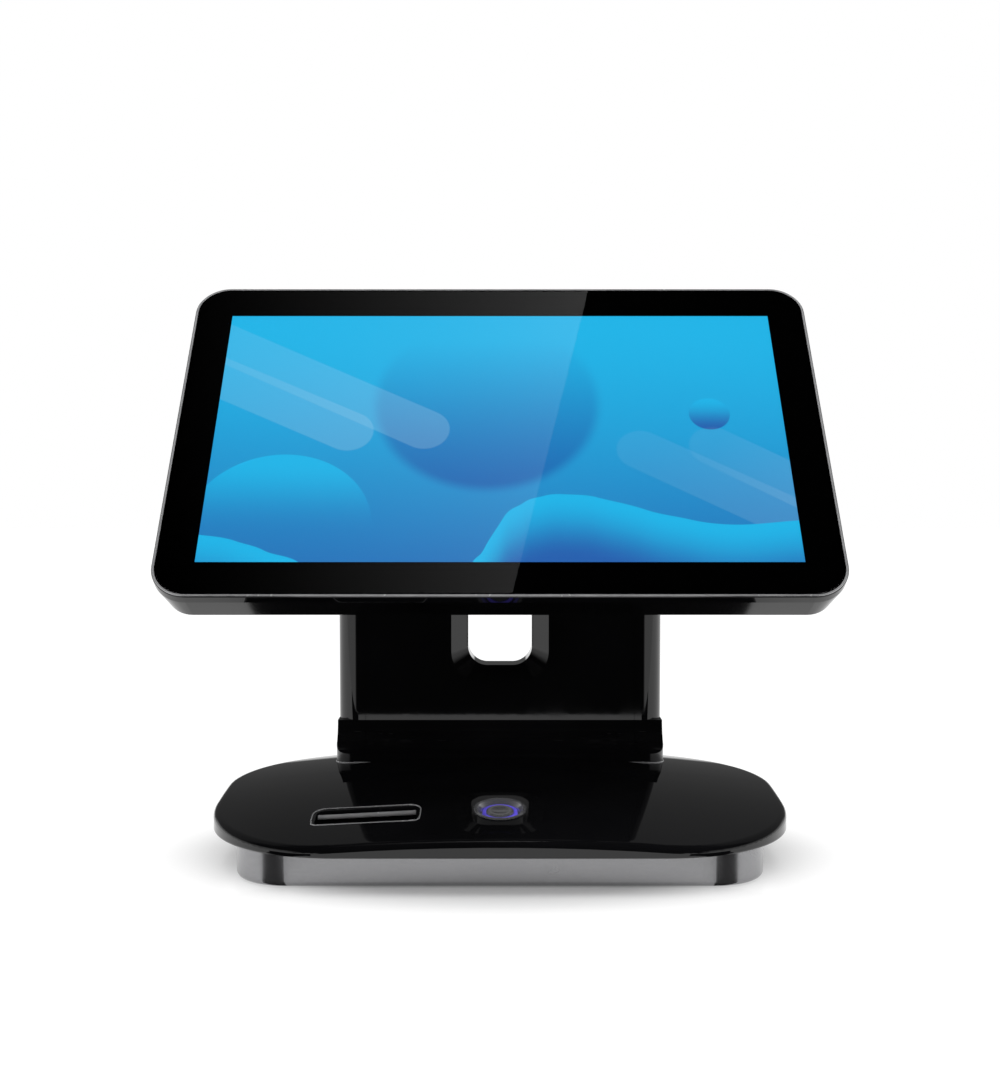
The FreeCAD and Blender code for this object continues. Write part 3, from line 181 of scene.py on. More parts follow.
def between(low, high, scale, detail=2.0):
    """A cloudy colour between two, at one scale of noise."""
    return lambda tree, place: mix(tree, noise(tree, place, scale, detail).step(0.3, 0.7), low, high)


def uneven(low, spread, scale, detail=2.0):
    """A value from low to low + spread, at one scale of noise."""
    return lambda tree, place: low + spread * noise(tree, place, scale, detail)


def grain(scale, detail=2.0):
    return lambda tree, place: noise(tree, place, scale, detail)


# ---------------------------------------------------------------- finishes
def piano_gloss():
    """Deep black polished plastic with faint polishing haze and a trace of orange peel."""
    black = tuple(bpy.context.scene.till_finish.gloss_black)
    haze = tuple(1.7 * c for c in black)
    return finish("piano_gloss", between(black, haze, 12.0),
                  lambda t, p: 0.03 + 0.03 * noise(t, p, 38.0, 3.0).step(0.5, 0.75),
                  bump=grain(160.0, 1.0), depth=0.000003)


def housing_gloss():
    """The housing's softer gloss, moulded and not polished."""
    return finish("housing_gloss", between((0.003, 0.003, 0.0033), (0.005, 0.005, 0.0055), 20.0),
                  uneven(0.08, 0.03, 60.0), bump=grain(220.0, 1.0), depth=0.000003, Specular_IOR_Level=0.12)


def satin_black():
    """Fine spark-eroded black moulding."""
    return finish("satin_black", between((0.010, 0.010, 0.011), (0.018, 0.018, 0.019), 90.0),
                  uneven(0.42, 0.12, 700.0), bump=grain(2200.0, 3.0), depth=0.00003)


def metallic_lacquer():
    """Mid grey metallic lacquer under clear gloss, with its flake."""
    grey = tuple(bpy.context.scene.till_finish.lacquer_grey)
    dark = tuple(0.75 * c for c in grey)

    def flakes(tree, place):
        cells = node(tree, "ShaderNodeTexVoronoi", None, {"Vector": place, "Scale": 2600.0})
        return mix(tree, cells.step(0.15, 0.6), grey, dark)
    return finish("metallic_lacquer", flakes, uneven(0.22, 0.08, 60.0), metal=0.85,
                  bump=grain(900.0), depth=0.000004, Coat_Weight=0.6, Coat_Roughness=0.05)


def zinc_plate():
    """Zinc plated steel with a cloudy passivation and rolling marks."""
    return finish("zinc_plate", between((0.50, 0.50, 0.50), (0.62, 0.61, 0.57), 45.0, 4.0),
                  uneven(0.26, 0.16, 220.0, 3.0), metal=1.0, bump=grain(1500.0), depth=0.00001)


def ground_steel():
    """Ground steel with fine grinding rings round the X axis."""
    def rings(tree, place):
        long = node(tree, "ShaderNodeMapping", None, {"Vector": place, "Scale": (4000.0, 60.0, 60.0)})
        return noise(tree, long, 1.0, 3.0)
    return finish("ground_steel", lambda t, p: mix(t, rings(t, p), (0.45, 0.45, 0.46), (0.68, 0.68, 0.69)),
                  lambda t, p: 0.16 + 0.14 * rings(t, p), metal=1.0, bump=rings, depth=0.000008)


def turned_brass():
    return finish("turned_brass", between((0.60, 0.42, 0.16), (0.78, 0.58, 0.26), 300.0),
                  uneven(0.2, 0.1, 900.0), metal=1.0)


def cast_aluminium():
    return finish("cast_aluminium", between((0.52, 0.53, 0.54), (0.66, 0.67, 0.68), 150.0),
                  uneven(0.32, 0.15, 500.0), metal=1.0, bump=grain(1200.0), depth=0.00001)


def smoked_chrome():
    """Dark chrome of the button's dish."""
    return finish("smoked_chrome", between((0.42, 0.42, 0.44), (0.50, 0.50, 0.52), 80.0),
                  uneven(0.09, 0.06, 260.0), metal=0.8)


def satin_plate_and_painted_highlight():
    """Satin plated bar and beads, in a bright colour that partly paints the highlights along the edges they
    trim.
    """
    return finish("satin_plate_and_painted_highlight", between((0.50, 0.50, 0.51), (0.60, 0.60, 0.61), 90.0),
                  uneven(0.22, 0.08, 240.0), metal=0.6)


def circuit_board():
    """Green solder resist over a net of copper tracks."""
    def tracks(tree, place):
        cells = node(tree, "ShaderNodeTexVoronoi", {"distance": "MANHATTAN"},
                     {"Vector": place, "Scale": 260.0})
        return mix(tree, cells.step(0.30, 0.42), (0.006, 0.07, 0.028), (0.012, 0.13, 0.045))
    return finish("circuit_board", tracks, uneven(0.34, 0.1, 200.0), Coat_Weight=0.3)


def moulded_rubber():
    return finish("moulded_rubber", between((0.012, 0.012, 0.012), (0.026, 0.026, 0.026), 120.0),
                  uneven(0.72, 0.14, 600.0), bump=grain(1800.0, 3.0), depth=0.00004)


def white_film():
    return finish("white_film", between((0.74, 0.76, 0.78), (0.82, 0.84, 0.86), 60.0),
                  uneven(0.45, 0.1, 400.0))


def printed_border():
    """Black ceramic ink on the back of the glass."""
    return finish("printed_border", between((0.0008, 0.0008, 0.001), (0.0014, 0.0014, 0.0016), 300.0),
                  uneven(0.5, 0.2, 900.0), Specular_IOR_Level=0.0)


def clear_glass():
    """Clear cover glass with a trace of finger haze."""
    return finish("clear_glass", between((0.985, 0.99, 0.99), (1.0, 1.0, 1.0), 9.0),
                  lambda t, p: 0.003 + 0.008 * noise(t, p, 30.0, 3.0).step(0.55, 0.8),
                  Transmission_Weight=1.0, IOR=1.45)


def ring_light():
    """Milky diffuser lit from below, a little brighter over each of its lamps."""
    lit = tuple(bpy.context.scene.till_finish.ring_colour)
    dim = tuple(0.45 * c for c in lit)
    return finish("ring_light", (0.05, 0.04, 0.2), uneven(0.3, 0.1, 500.0),
                  Emission_Color=between(dim, lit, 130.0), Emission_Strength=0.6)


def jack_plastic():
    return finish("jack_plastic", between((0.010, 0.010, 0.011), (0.020, 0.020, 0.021), 200.0),
                  uneven(0.36, 0.14, 900.0))


CAD_FINISHES = {
    piano_gloss: ("base_shell", "neck_front_cover", "neck_rear_cover", "neck_hole_liner", "front_frame",
                  "hinge_caps", "card_slot_insert", "tilt_bracket"),
    housing_gloss: ("rear_housing", "cable_cover"),
    metallic_lacquer: ("plinth_tray",),
    satin_black: ("switch_cage", "card_reader", "speakers", "memory_socket", "processor"),
    zinc_plate: ("weight_plate", "board_screws", "io_panel", "shell_screws", "neck_bridge", "neck_spine",
                 "spine_bolts", "hinge_nuts", "lcd_tray", "screen_chassis", "housing_screws", "bracket_bolts",
                 "serial_port", "drawer_port", "lan_port", "hdmi_port", "usb_port_left", "usb_port_right"),
    ground_steel: ("hinge_shaft", "friction_discs", "spring_washers"),
    turned_brass: ("board_standoffs", "chassis_posts"),
    cast_aluminium: ("heatsink",),
    smoked_chrome: ("button_dish", "power_button"),
    circuit_board: ("main_board", "memory_module", "ssd_drive", "switch_board", "driver_board",
                    "touch_board"),
    moulded_rubber: ("panel_gasket",),
    white_film: ("backlight",),
    printed_border: ("glass_mask",),
    jack_plastic: ("dc_inlet", "audio_jack"),
}


# ---------------------------------------------------------------- places taken from the frame
def middle(name):
    low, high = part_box(name)
    return (low + high) / 2


TILT = math.radians(51.2)                        # screen plane from the horizontal
NORMAL = Vector((0, -math.sin(TILT), math.cos(TILT)))
GLASS_T = 0.003
SCREEN = Matrix.Translation(middle("touch_glass") + NORMAL * GLASS_T / 2) @ Matrix.Rotation(TILT, 4, "X")
GLASS_W = (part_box("touch_glass")[1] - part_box("touch_glass")[0]).x
GLASS_H = 0.2366
GLASS_CORNER = 0.019
PICTURE_W, PICTURE_H = 0.3442, 0.1936
BUTTON_AXIS = Vector((0, -0.16929, 0.98557))     # the dome's normal at the power button
SLOT_AXIS = Vector((-0.05421, -0.17334, 0.98337))  # and at the card slot
SLOT_TOP_Z = 0.037784                            # height of the dome at the slot's middle
AXIS_R = 1e-6                                    # radius that closes a turned form on its axis


# ---------------------------------------------------------------- mesh helpers
def new_piece(name, vertices, faces, body, material, slot, smooth=40.0, place=None):
    """A mesh object on a body, with its finish, outward faces and creased sharp edges."""
    mesh = bpy.data.meshes.new(name)
    mesh.from_pydata(vertices, [], faces)
    work = bmesh.new()
    work.from_mesh(mesh)
    bmesh.ops.remove_doubles(work, verts=work.verts, dist=1e-7)
    bmesh.ops.recalc_face_normals(work, faces=work.faces)
    for face in work.faces:
        face.smooth = True
    for edge in work.edges:
        if len(edge.link_faces) == 2 and edge.calc_face_angle(0.0) > math.radians(smooth):
            edge.smooth = False
    work.to_mesh(mesh)
    work.free()
    piece = bpy.data.objects.new(name, mesh)
    bpy.context.scene.collection.objects.link(piece)
    mesh.materials.append(material)
    if place:
        piece.matrix_world = place
    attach(piece, body)
    return piece


def facing(centre, axis):
    """A matrix that stands local Z along an axis at a place, with local X kept level to world X."""
    z = axis.normalized()
    y = z.cross(Vector((1, 0, 0))).normalized()
    x = y.cross(z)
    turn = Matrix((x, y, z)).transposed().to_4x4()
    return Matrix.Translation(centre) @ turn


def rounded_loop(w, d, r, steps=12):
    """Points round a rounded rectangle, anticlockwise from the right side."""
    points = []
    for sx, sy, start in ((1, 1, 0), (-1, 1, 90), (-1, -1, 180), (1, -1, 270)):
        for i in range(steps + 1):
            a = math.radians(start + 90 * i / steps)
            points.append((sx * (w / 2 - r) + r * math.cos(a), sy * (d / 2 - r) + r * math.sin(a)))
    return points


def skin(loops, caps=True, ends_meet=False):
    """Faces through a stack of equal closed loops, with flat ends or with the last joined to the first."""
    count, rows = len(loops[0]), len(loops)
    vertices = [p for loop in loops for p in loop]
    faces = []
    for row in range(rows if ends_meet else rows - 1):
        above = (row + 1) % rows
        for i in range(count):
            j = (i + 1) % count
            faces.append((row * count + i, row * count + j, above * count + j, above * count + i))
    if caps:
        faces.append(tuple(range(count))[::-1])
        faces.append(tuple(range((rows - 1) * count, rows * count)))
    return vertices, faces


def plate(w, d, r, z0, z1, edge):
    """A rounded plate from z0 to z1 with softened edges."""
    rows = ((z0, edge), (z0 + edge * 0.3, edge * 0.3), (z0 + edge, 0.0),
            (z1 - edge, 0.0), (z1 - edge * 0.3, edge * 0.3), (z1, edge))
    return skin([[(x, y, z) for x, y in rounded_loop(w - 2 * inset, d - 2 * inset, r - inset)]
                 for z, inset in rows])


def turned(profile, steps=96):
    """A lathe form: a closed profile of (radius, height) swept round Z."""
    loops = []
    for i in range(steps):
        a = math.tau * i / steps
        loops.append([(r * math.cos(a), r * math.sin(a), z) for r, z in profile])
    return skin(loops, caps=False, ends_meet=True)


def rod_profile(stations):
    """A solid turned rod: (height, radius) stations closed on its axis."""
    low, high = stations[0][0], stations[-1][0]
    return [(AXIS_R, low)] + [(r, z) for z, r in stations] + [(AXIS_R, high)]


def bead(path, radius, sides=10):
    """A round bead along a closed path of Vectors."""
    loops = []
    turns = [math.tau * k / sides for k in range(sides)]
    for i, point in enumerate(path):
        along = (path[(i + 1) % len(path)] - path[i - 1]).normalized()
        across = along.cross(Vector((0, 0, 1))).normalized()
        up = across.cross(along)
        loops.append([point + radius * (math.cos(a) * across + math.sin(a) * up) for a in turns])
    return skin(loops, caps=False, ends_meet=True)


def joined(forms):
    """One list of vertices and faces from several."""
    vertices, faces = [], []
    for more, around in forms:
        start = len(vertices)
        vertices += [Vector(p) for p in more]
        faces += [tuple(start + i for i in face) for face in around]
    return vertices, faces


def moved(form, matrix):
    return [matrix @ Vector(p) for p in form[0]], form[1]


# ---------------------------------------------------------------- the picture
EDGE = 0.0003                                    # softness of a printed shape's outline
BIG_DISC = (-0.008, 0.024, 0.068)                # centre X and Y, radius, from the picture's middle
LOW_DISC = (-0.1277, -0.0720, 0.0540)
SMALL_DISC = (0.1275, 0.0140, 0.0125)
BARS = (                                         # ends and radius of the slanting bars
    (-0.2455, 0.0822, -0.0915, 0.0003, 0.0152), (-0.2230, 0.1003, -0.0456, 0.0017, 0.0152),
    (0.0845, -0.0144, 0.2615, -0.1214, 0.0148), (0.1280, -0.0115, 0.2190, -0.0705, 0.0148),
)
WAVES = (                                        # height of each wave's line at shares of the width
    ((0.00, -0.240), (0.30, -0.175), (0.42, -0.118), (0.452, -0.0985), (0.475, -0.0857),
     (0.506, -0.0646), (0.54, -0.0540), (0.575, -0.0490), (0.61, -0.0479), (0.668, -0.0506),
     (0.744, -0.0590), (0.819, -0.0663), (0.895, -0.0699), (1.00, -0.0669)),
    ((0.00, -0.0771), (0.06, -0.0812), (0.112, -0.0883), (0.175, -0.0975), (0.25, -0.115), (0.40, -0.160)),
)
WAVE_SPAN = 0.320                                # depth of the range that a wave's line is held in


def wallpaper(tree, place):
    """A blue wallpaper of soft discs, slanting bars and waves, over the picture's own X and Y."""
    x, y, _ = parts_of(tree, place)
    half_w, half_h = PICTURE_W / 2, PICTURE_H / 2

    def bar(ax, ay, bx, by, radius):
        """1 inside a round-ended bar from a to b, with the share of the way along it."""
        length = math.hypot(bx - ax, by - ay)
        ux, uy = (bx - ax) / length, (by - ay) / length
        along = ((x - ax) * ux + (y - ay) * uy).most(0.0).least(length)
        off_x, off_y = x - ax - along * ux, y - ay - along * uy
        return (off_x ** 2.0 + off_y ** 2.0).root().step(radius + EDGE, radius - EDGE), along / length

    def disc(cx, cy, radius, soft):
        """1 inside a disc, with the share of the way up it."""
        away = ((x - cx) ** 2.0 + (y - cy) ** 2.0).root()
        return away.step(radius + soft, radius - soft), (y - cy + radius) / (2 * radius)

    def wave(heights):
        """1 below a rolling line through the given heights, with how far below."""
        stops = [(place, 1.0 + height / WAVE_SPAN) for place, height in heights]
        level = node(tree, "ShaderNodeValToRGB", {"stops": stops}, {"Fac": x / PICTURE_W + 0.5})
        below = (level - 1.0) * WAVE_SPAN - y
        return below.step(-EDGE, EDGE), below

    def own_shade(colour, inside, up, strength):
        """A shape with its own fall from light at its top to deep blue at its foot."""
        shade = mix(tree, up.step(0.0, 1.0), low, top)
        return mix(tree, inside * strength, colour, shade)

    picture = bpy.context.scene.till_finish
    top, low = tuple(picture.picture_top), tuple(picture.picture_low)
    colour = mix(tree, ((y + half_h) / PICTURE_H).step(-0.35, 1.0), low, top)
    inside, up = disc(*BIG_DISC, 0.005)
    colour = mix(tree, inside * (1.0 - up * 1.15).most(0.0) * 0.85, colour, (0.016, 0.125, 0.45))
    inside, up = disc(*LOW_DISC, EDGE)
    colour = own_shade(colour, inside, up, up.step(0.45, 0.95))
    inside, up = disc(*SMALL_DISC, EDGE)
    colour = own_shade(colour, inside, up, 1.0)
    for ends in BARS:
        inside, along = bar(*ends)
        colour = mix(tree, inside * (0.04 + 0.10 * along), colour, (0.50, 0.80, 0.98))
    for heights in WAVES:
        inside, below = wave(heights)
        colour = mix(tree, inside, colour, mix(tree, below.step(0.045, 0.0), low, top))
    crisp = EDGE / 6
    shown = abs(x).step(half_w + crisp, half_w - crisp) * abs(y).step(half_h + crisp, half_h - crisp)
    return mix(tree, shown, (0.0, 0.0, 0.0), colour)


class TILL_OT_lit_picture(bpy.types.Operator):
    """Add the lit panel behind the glass in place of the plain one"""
    bl_idname = "till.lit_picture"
    bl_label = "Lit picture"

    def execute(self, context):
        low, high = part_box("lcd_panel")
        thick, margin = 0.002, (high - low).x - PICTURE_W
        form = plate(PICTURE_W + margin, PICTURE_H + margin, 0.001, -thick, 0.0, 0.0002)
        glow = finish("lit_picture", (0.002, 0.002, 0.002), uneven(0.4, 0.1, 600.0),
                      Emission_Color=wallpaper, Emission_Strength=1.0)
        place = Matrix.Translation(middle("lcd_panel") + NORMAL * thick / 2) @ Matrix.Rotation(TILT, 4, "X")
        piece = new_piece("lit_panel", *form, "screen", glow, "picture", place=place)
        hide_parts("lcd_panel")
        return {"FINISHED"}


# ---------------------------------------------------------------- fine pieces
class TILL_OT_paint_frame(bpy.types.Operator):
    """Give every node of the frame its finish"""
    bl_idname = "till.paint_frame"
    bl_label = "Frame finishes"

    def execute(self, context):
        for material, names in CAD_FINISHES.items():
            for name in names:
                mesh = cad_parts[name].data
                mesh.materials.clear()
                mesh.materials.append(material())
        return {"FINISHED"}


class TILL_OT_cover_glass(bpy.types.Operator):
    """Add the ground cover glass in place of the plain one, and the bright bead round its frame that paints
    the glass edge's highlight
    """
    bl_idname = "till.cover_glass"
    bl_label = "Cover glass"

    def execute(self, context):
        ground = 0.0005
        rows = ((-GLASS_T, ground), (-GLASS_T + ground, 0.0), (-ground, 0.0), (0.0, ground))
        loops = []
        for z, inset in rows:
            outline = rounded_loop(GLASS_W - 2 * inset, GLASS_H - 2 * inset, GLASS_CORNER - inset, 24)
            loops.append([(x, y, z) for x, y in outline])
        form = skin(loops)
        glass = new_piece("cover_glass", *form, "screen", clear_glass(), "cover_glass", 30.0, SCREEN)
        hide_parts("touch_glass")

        # The bead's bright plated colour is a painted highlight along the edge of the glass.
        radius, out = 0.0007, 0.0009
        loop = rounded_loop(GLASS_W + 2 * out, GLASS_H + 2 * out, GLASS_CORNER + out, 24)
        path = [Vector((x, y, -radius * 0.55)) for x, y in loop]
        new_piece("frame_bead", *bead(path, radius, 12), "screen", satin_plate_and_painted_highlight(), "bright_steel",
                  place=SCREEN)
        return {"FINISHED"}


class TILL_OT_card_slot(bpy.types.Operator):
    """Add the turned bar across the card slot and the bead round its mouth, whose bright colour partly paints
    the slot's highlights
    """
    bl_idname = "till.card_slot"
    bl_label = "Card slot"

    def execute(self, context):
        sizes = context.scene.till_sizes
        low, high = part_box("card_roller")
        radius, neck = 0.0015, 0.0001
        left = Vector((low.x, (low.y + high.y) / 2, low.z + radius))
        right = Vector((high.x, (low.y + high.y) / 2, high.z - radius))
        length = (right - left).length
        collar, groove = 0.0022, 0.0005
        stations = [(0.0, radius - neck * 3), (neck * 3, radius), (collar, radius),
                    (collar, radius - neck * 2), (collar + groove, radius - neck * 2),
                    (collar + groove, radius - neck)]
        stations += [(length - z, r) for z, r in reversed(stations)]
        axis = (right - left).normalized()
        place = Matrix.Translation(left) @ axis.to_track_quat("Z", "Y").to_matrix().to_4x4()
        # The roller is a real part; its bright plated colour also paints the reflection along the slot's back
        # wall.
        bar = new_piece("slot_bar", *turned(rod_profile(stations), 40), "base", satin_plate_and_painted_highlight(), "dish_chrome",
                        place=place)
        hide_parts("card_roller")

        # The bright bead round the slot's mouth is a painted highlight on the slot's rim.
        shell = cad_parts["base_shell"]
        seat = middle("card_slot_insert")
        mouth = facing(seat + SLOT_AXIS * (SLOT_TOP_Z - seat.z) / SLOT_AXIS.z, SLOT_AXIS)
        path = []
        for x, y in rounded_loop(sizes.slot_width, sizes.slot_depth, sizes.slot_corner, 10):
            found, where, _, _ = shell.closest_point_on_mesh(mouth @ Vector((x, y, 0)))
            if not found:
                raise RuntimeError("the slot's bead finds no shell near it")
            path.append(where + SLOT_AXIS * sizes.bead_radius * 0.3)
        new_piece("slot_bead", *bead(path, sizes.bead_radius), "base", satin_plate_and_painted_highlight(), "dish_chrome")
        return {"FINISHED"}


class TILL_OT_foot_bead(bpy.types.Operator):
    """Add the bright bead where the neck's foot stands on the dome, a painted highlight along the foot's edge
    """
    bl_idname = "till.foot_bead"
    bl_label = "Foot bead"

    def execute(self, context):
        radius = context.scene.till_sizes.bead_radius
        low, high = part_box("neck_rear_cover")
        front, back = low.y, high.y
        corner, above_dome, lift = 0.0142, high.z / 6, radius * 0.6
        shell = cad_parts["base_shell"]
        path = []
        for x, y in rounded_loop(high.x - low.x + radius, back - front + radius, corner, 12):
            above = Vector((x, y + (front + back) / 2, above_dome))
            found, where, _, _ = shell.closest_point_on_mesh(above)
            if not found:
                raise RuntimeError("the foot's bead finds no shell near it")
            path.append(where + Vector((0, 0, lift)))
        # The bead's bright plated colour paints the highlight line along the foot's front edge.
        new_piece("foot_bead", *bead(path, radius), "base", satin_plate_and_painted_highlight(), "dish_chrome")
        return {"FINISHED"}


class TILL_OT_button_light(bpy.types.Operator):
    """Add the rounded diffuser of the power button's light in place of the plain ring"""
    bl_idname = "till.button_light"
    bl_label = "Button light"

    def execute(self, context):
        outer, inner, half, taller = 0.0102, 0.0088, 0.0017, 0.0014
        soft = 0.0004
        top, cut = half + taller, soft * 0.3
        profile = [(inner, -half), (inner, top - soft), (inner + cut, top - cut), (inner + soft, top),
                   (outer - soft, top), (outer - cut, top - cut), (outer, top - soft), (outer, -half)]
        ring = new_piece("ring_diffuser", *turned(profile), "base", ring_light(), "blue_light",
                         place=facing(middle("light_ring"), BUTTON_AXIS))
        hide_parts("light_ring")
        return {"FINISHED"}


class TILL_OT_feet(bpy.types.Operator):
    """Add the four grooved rubber feet in place of the plain ones"""
    bl_idname = "till.feet"
    bl_label = "Rubber feet"

    def execute(self, context):
        low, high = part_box("rubber_feet")
        radius, tall, hub, land = 0.009, high.z, 0.002, 0.0012
        soft, groove, ribs = 0.0004, 0.00035, context.scene.till_sizes.foot_ribs
        profile = [(AXIS_R, tall), (radius - soft, tall), (radius, tall - soft), (radius, soft),
                   (radius - soft, 0.0)]
        pitch = (radius - hub) / ribs
        for i in range(ribs):
            edge = radius - land - i * pitch
            profile += [(edge, 0.0), (edge - pitch * 0.15, groove), (edge - pitch * 0.4, groove),
                        (edge - pitch * 0.55, 0.0)]
        profile.append((AXIS_R, 0.0))
        foot = turned(profile, 48)
        out_x, out_y = high.x - radius, high.y - radius
        forms = [moved(foot, Matrix.Translation((sx * out_x, sy * out_y, 0)))
                 for sx in (-1, 1) for sy in (-1, 1)]
        feet = new_piece("grooved_feet", *joined(forms), "base", moulded_rubber(), "rubber_black")
        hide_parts("rubber_feet")
        return {"FINISHED"}


class TILL_OT_contacts(bpy.types.Operator):
    """Add the plated contacts in the sockets at the back"""
    bl_idname = "till.contacts"
    bl_label = "Socket contacts"

    # socket, number of contacts, pitch, height above the socket's middle, width
    ROWS = (("usb_port_left", 4, 0.0020, 0.00135, 0.0009), ("usb_port_right", 4, 0.0020, 0.00135, 0.0009),
            ("hdmi_port", 9, 0.0010, 0.00135, 0.0005), ("lan_port", 8, 0.00102, 0.0020, 0.0004),
            ("drawer_port", 6, 0.00102, 0.0020, 0.0004))
    PINS = (("serial_port", 5, 0.00277, 0.0012), ("serial_port", 4, 0.00277, -0.0012))

    BLADE_IN, BLADE_L, BLADE_T, BLADE_EDGE = 0.0055, 0.006, 0.00025, 0.00006
    PIN_IN = 0.0052
    PIN_SHAPE = ((0.0, 0.0005), (0.0040, 0.0005), (0.0046, 0.00035), (0.0049, 0.0001))

    def places(self, name, count, pitch, up, inward):
        """The places of a row of contacts, centred on its socket and set in from its mouth."""
        centre, mouth = middle(name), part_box(name)[1].y
        return [Matrix.Translation((centre.x + (i - (count - 1) / 2) * pitch, mouth - inward, centre.z + up))
                for i in range(count)]

    def execute(self, context):
        forms = []
        for name, count, pitch, up, width in self.ROWS:
            blade = plate(width, self.BLADE_L, width * 0.3, 0.0, self.BLADE_T, self.BLADE_EDGE)
            forms += [moved(blade, at) for at in self.places(name, count, pitch, up, self.BLADE_IN)]
        pin = moved(turned(rod_profile(self.PIN_SHAPE), 16), Matrix.Rotation(-math.pi / 2, 4, "X"))
        for row in self.PINS:
            forms += [moved(pin, at) for at in self.places(*row, self.PIN_IN)]
        new_piece("socket_contacts", *joined(forms), "base", turned_brass(), "brass")
        return {"FINISHED"}


# ---------------------------------------------------------------- studio
def seen(tree):
    """1 for rays that meet the plain white background: from the camera, glossy and through glass."""
    path = node(tree, "ShaderNodeLightPath").socket.node
    camera, glossy, through = (Wire(tree, path.outputs[f"Is {kind} Ray"])
                               for kind in ("Camera", "Glossy", "Transmission"))
    return camera.most(glossy).most(through), camera


def make_camera(studio):
    data = bpy.data.cameras.new("camera")
    data.lens, data.sensor_width = studio.lens, 36.0
    camera = bpy.data.objects.new("camera", data)
    camera.matrix_world = (Matrix.Translation((0, -studio.camera_away, studio.camera_up))
                           @ Matrix.Rotation(math.pi / 2 - studio.camera_down, 4, "X"))
    bpy.context.scene.collection.objects.link(camera)
    bpy.context.scene.camera = camera


def make_world(studio):
    """White to the eye; gloss sees white low down all round but for the front, and a dim studio above."""
    world = bpy.data.worlds.new("studio")
    bpy.context.scene.world = world
    world.use_nodes = True
    tree = world.node_tree
    x, y, z = parts_of(tree, node(tree, "ShaderNodeTexCoord", out=0))
    visible, camera = seen(tree)
    front_level = 0.006
    behind = y.step(-0.20, 0.10)
    aside = behind.most((abs(x) - 0.30).step(0.0, 0.10))
    low = z.step(0.05, 0.0) * aside
    flank = z.step(0.34, 0.06) * abs(x).step(0.55, 0.75) * studio.flank_level
    below_top = z.step(0.97, 0.80)
    glossy = (front_level + studio.back_level * behind * below_top).most(low).most(flank)
    level = camera.most(visible * glossy + (1.0 - visible) * studio.ambient)
    sky = mix(tree, level, (0.0, 0.0, 0.0), (1.0, 1.0, 1.0))
    tree.links.new(sky.socket, tree.nodes["Background"].inputs["Color"])


def stage_sheet(name, corners, material, camera=True):
    """A flat sheet of the studio, on its own or seen only in gloss."""
    mesh = bpy.data.meshes.new(name)
    mesh.from_pydata(corners, [], [tuple(range(len(corners)))])
    sheet = bpy.data.objects.new(name, mesh)
    bpy.context.scene.collection.objects.link(sheet)
    mesh.materials.append(material)
    if not camera:
        sheet.visible_camera = sheet.visible_diffuse = False
        sheet.visible_shadow = sheet.visible_transmission = False


def make_floor(studio):
    """White floor that keeps the shadow: part of its white comes from its own glow."""
    half_x, near, far = 3.0, -0.345, 4.5
    inner, outer, oval = 0.088, 0.145, 1.6
    material = bpy.data.materials.new("studio_white")
    material.use_nodes = True
    tree = material.node_tree
    shader = tree.nodes["Principled BSDF"]
    for key, value in (("Roughness", 0.25), ("Specular IOR Level", 0.3), ("Emission Strength", 1.0)):
        shader.inputs[key].default_value = value
    visible, _ = seen(tree)
    x, y, _ = parts_of(tree, node(tree, "ShaderNodeTexCoord", out=3))
    away = ((x / oval) ** 2.0 + y ** 2.0).root().step(inner, outer)
    share = studio.floor_glow + (1.0 - studio.floor_glow) * away
    glow = mix(tree, visible * share, (0.0, 0.0, 0.0), (1.0, 1.0, 1.0))
    paint = mix(tree, away, (0.88, 0.88, 0.88), (0.10, 0.10, 0.10))
    tree.links.new(paint.socket, shader.inputs["Base Color"])
    tree.links.new(glow.socket, shader.inputs["Emission Color"])
    corners = [(-half_x, near, 0), (half_x, near, 0), (half_x, far, 0), (-half_x, far, 0)]
    stage_sheet("studio_floor", corners, material)


def make_flags(studio):
    """Black cards lying on the floor ahead of the plinth, left and right of the middle."""
    material = bpy.data.materials.new("studio_black")
    material.use_nodes = True
    shader = material.node_tree.nodes["Principled BSDF"]
    shader.inputs["Base Color"].default_value = (0.01, 0.01, 0.01, 1)
    shader.inputs["Specular IOR Level"].default_value = 0.0
    near, far, up = -0.080, -0.34, 0.0004
    inner_near, outer_near, inner_far, outer_far = 0.1215, 0.1365, 0.178, 0.50
    for side in (-1, 1):
        corners = [(side * inner_near, near, up), (side * outer_near, near, up),
                   (side * outer_far, far, up), (side * inner_far, far, up)]
        stage_sheet(f"flag_{'left' if side < 0 else 'right'}", corners, material, camera=False)


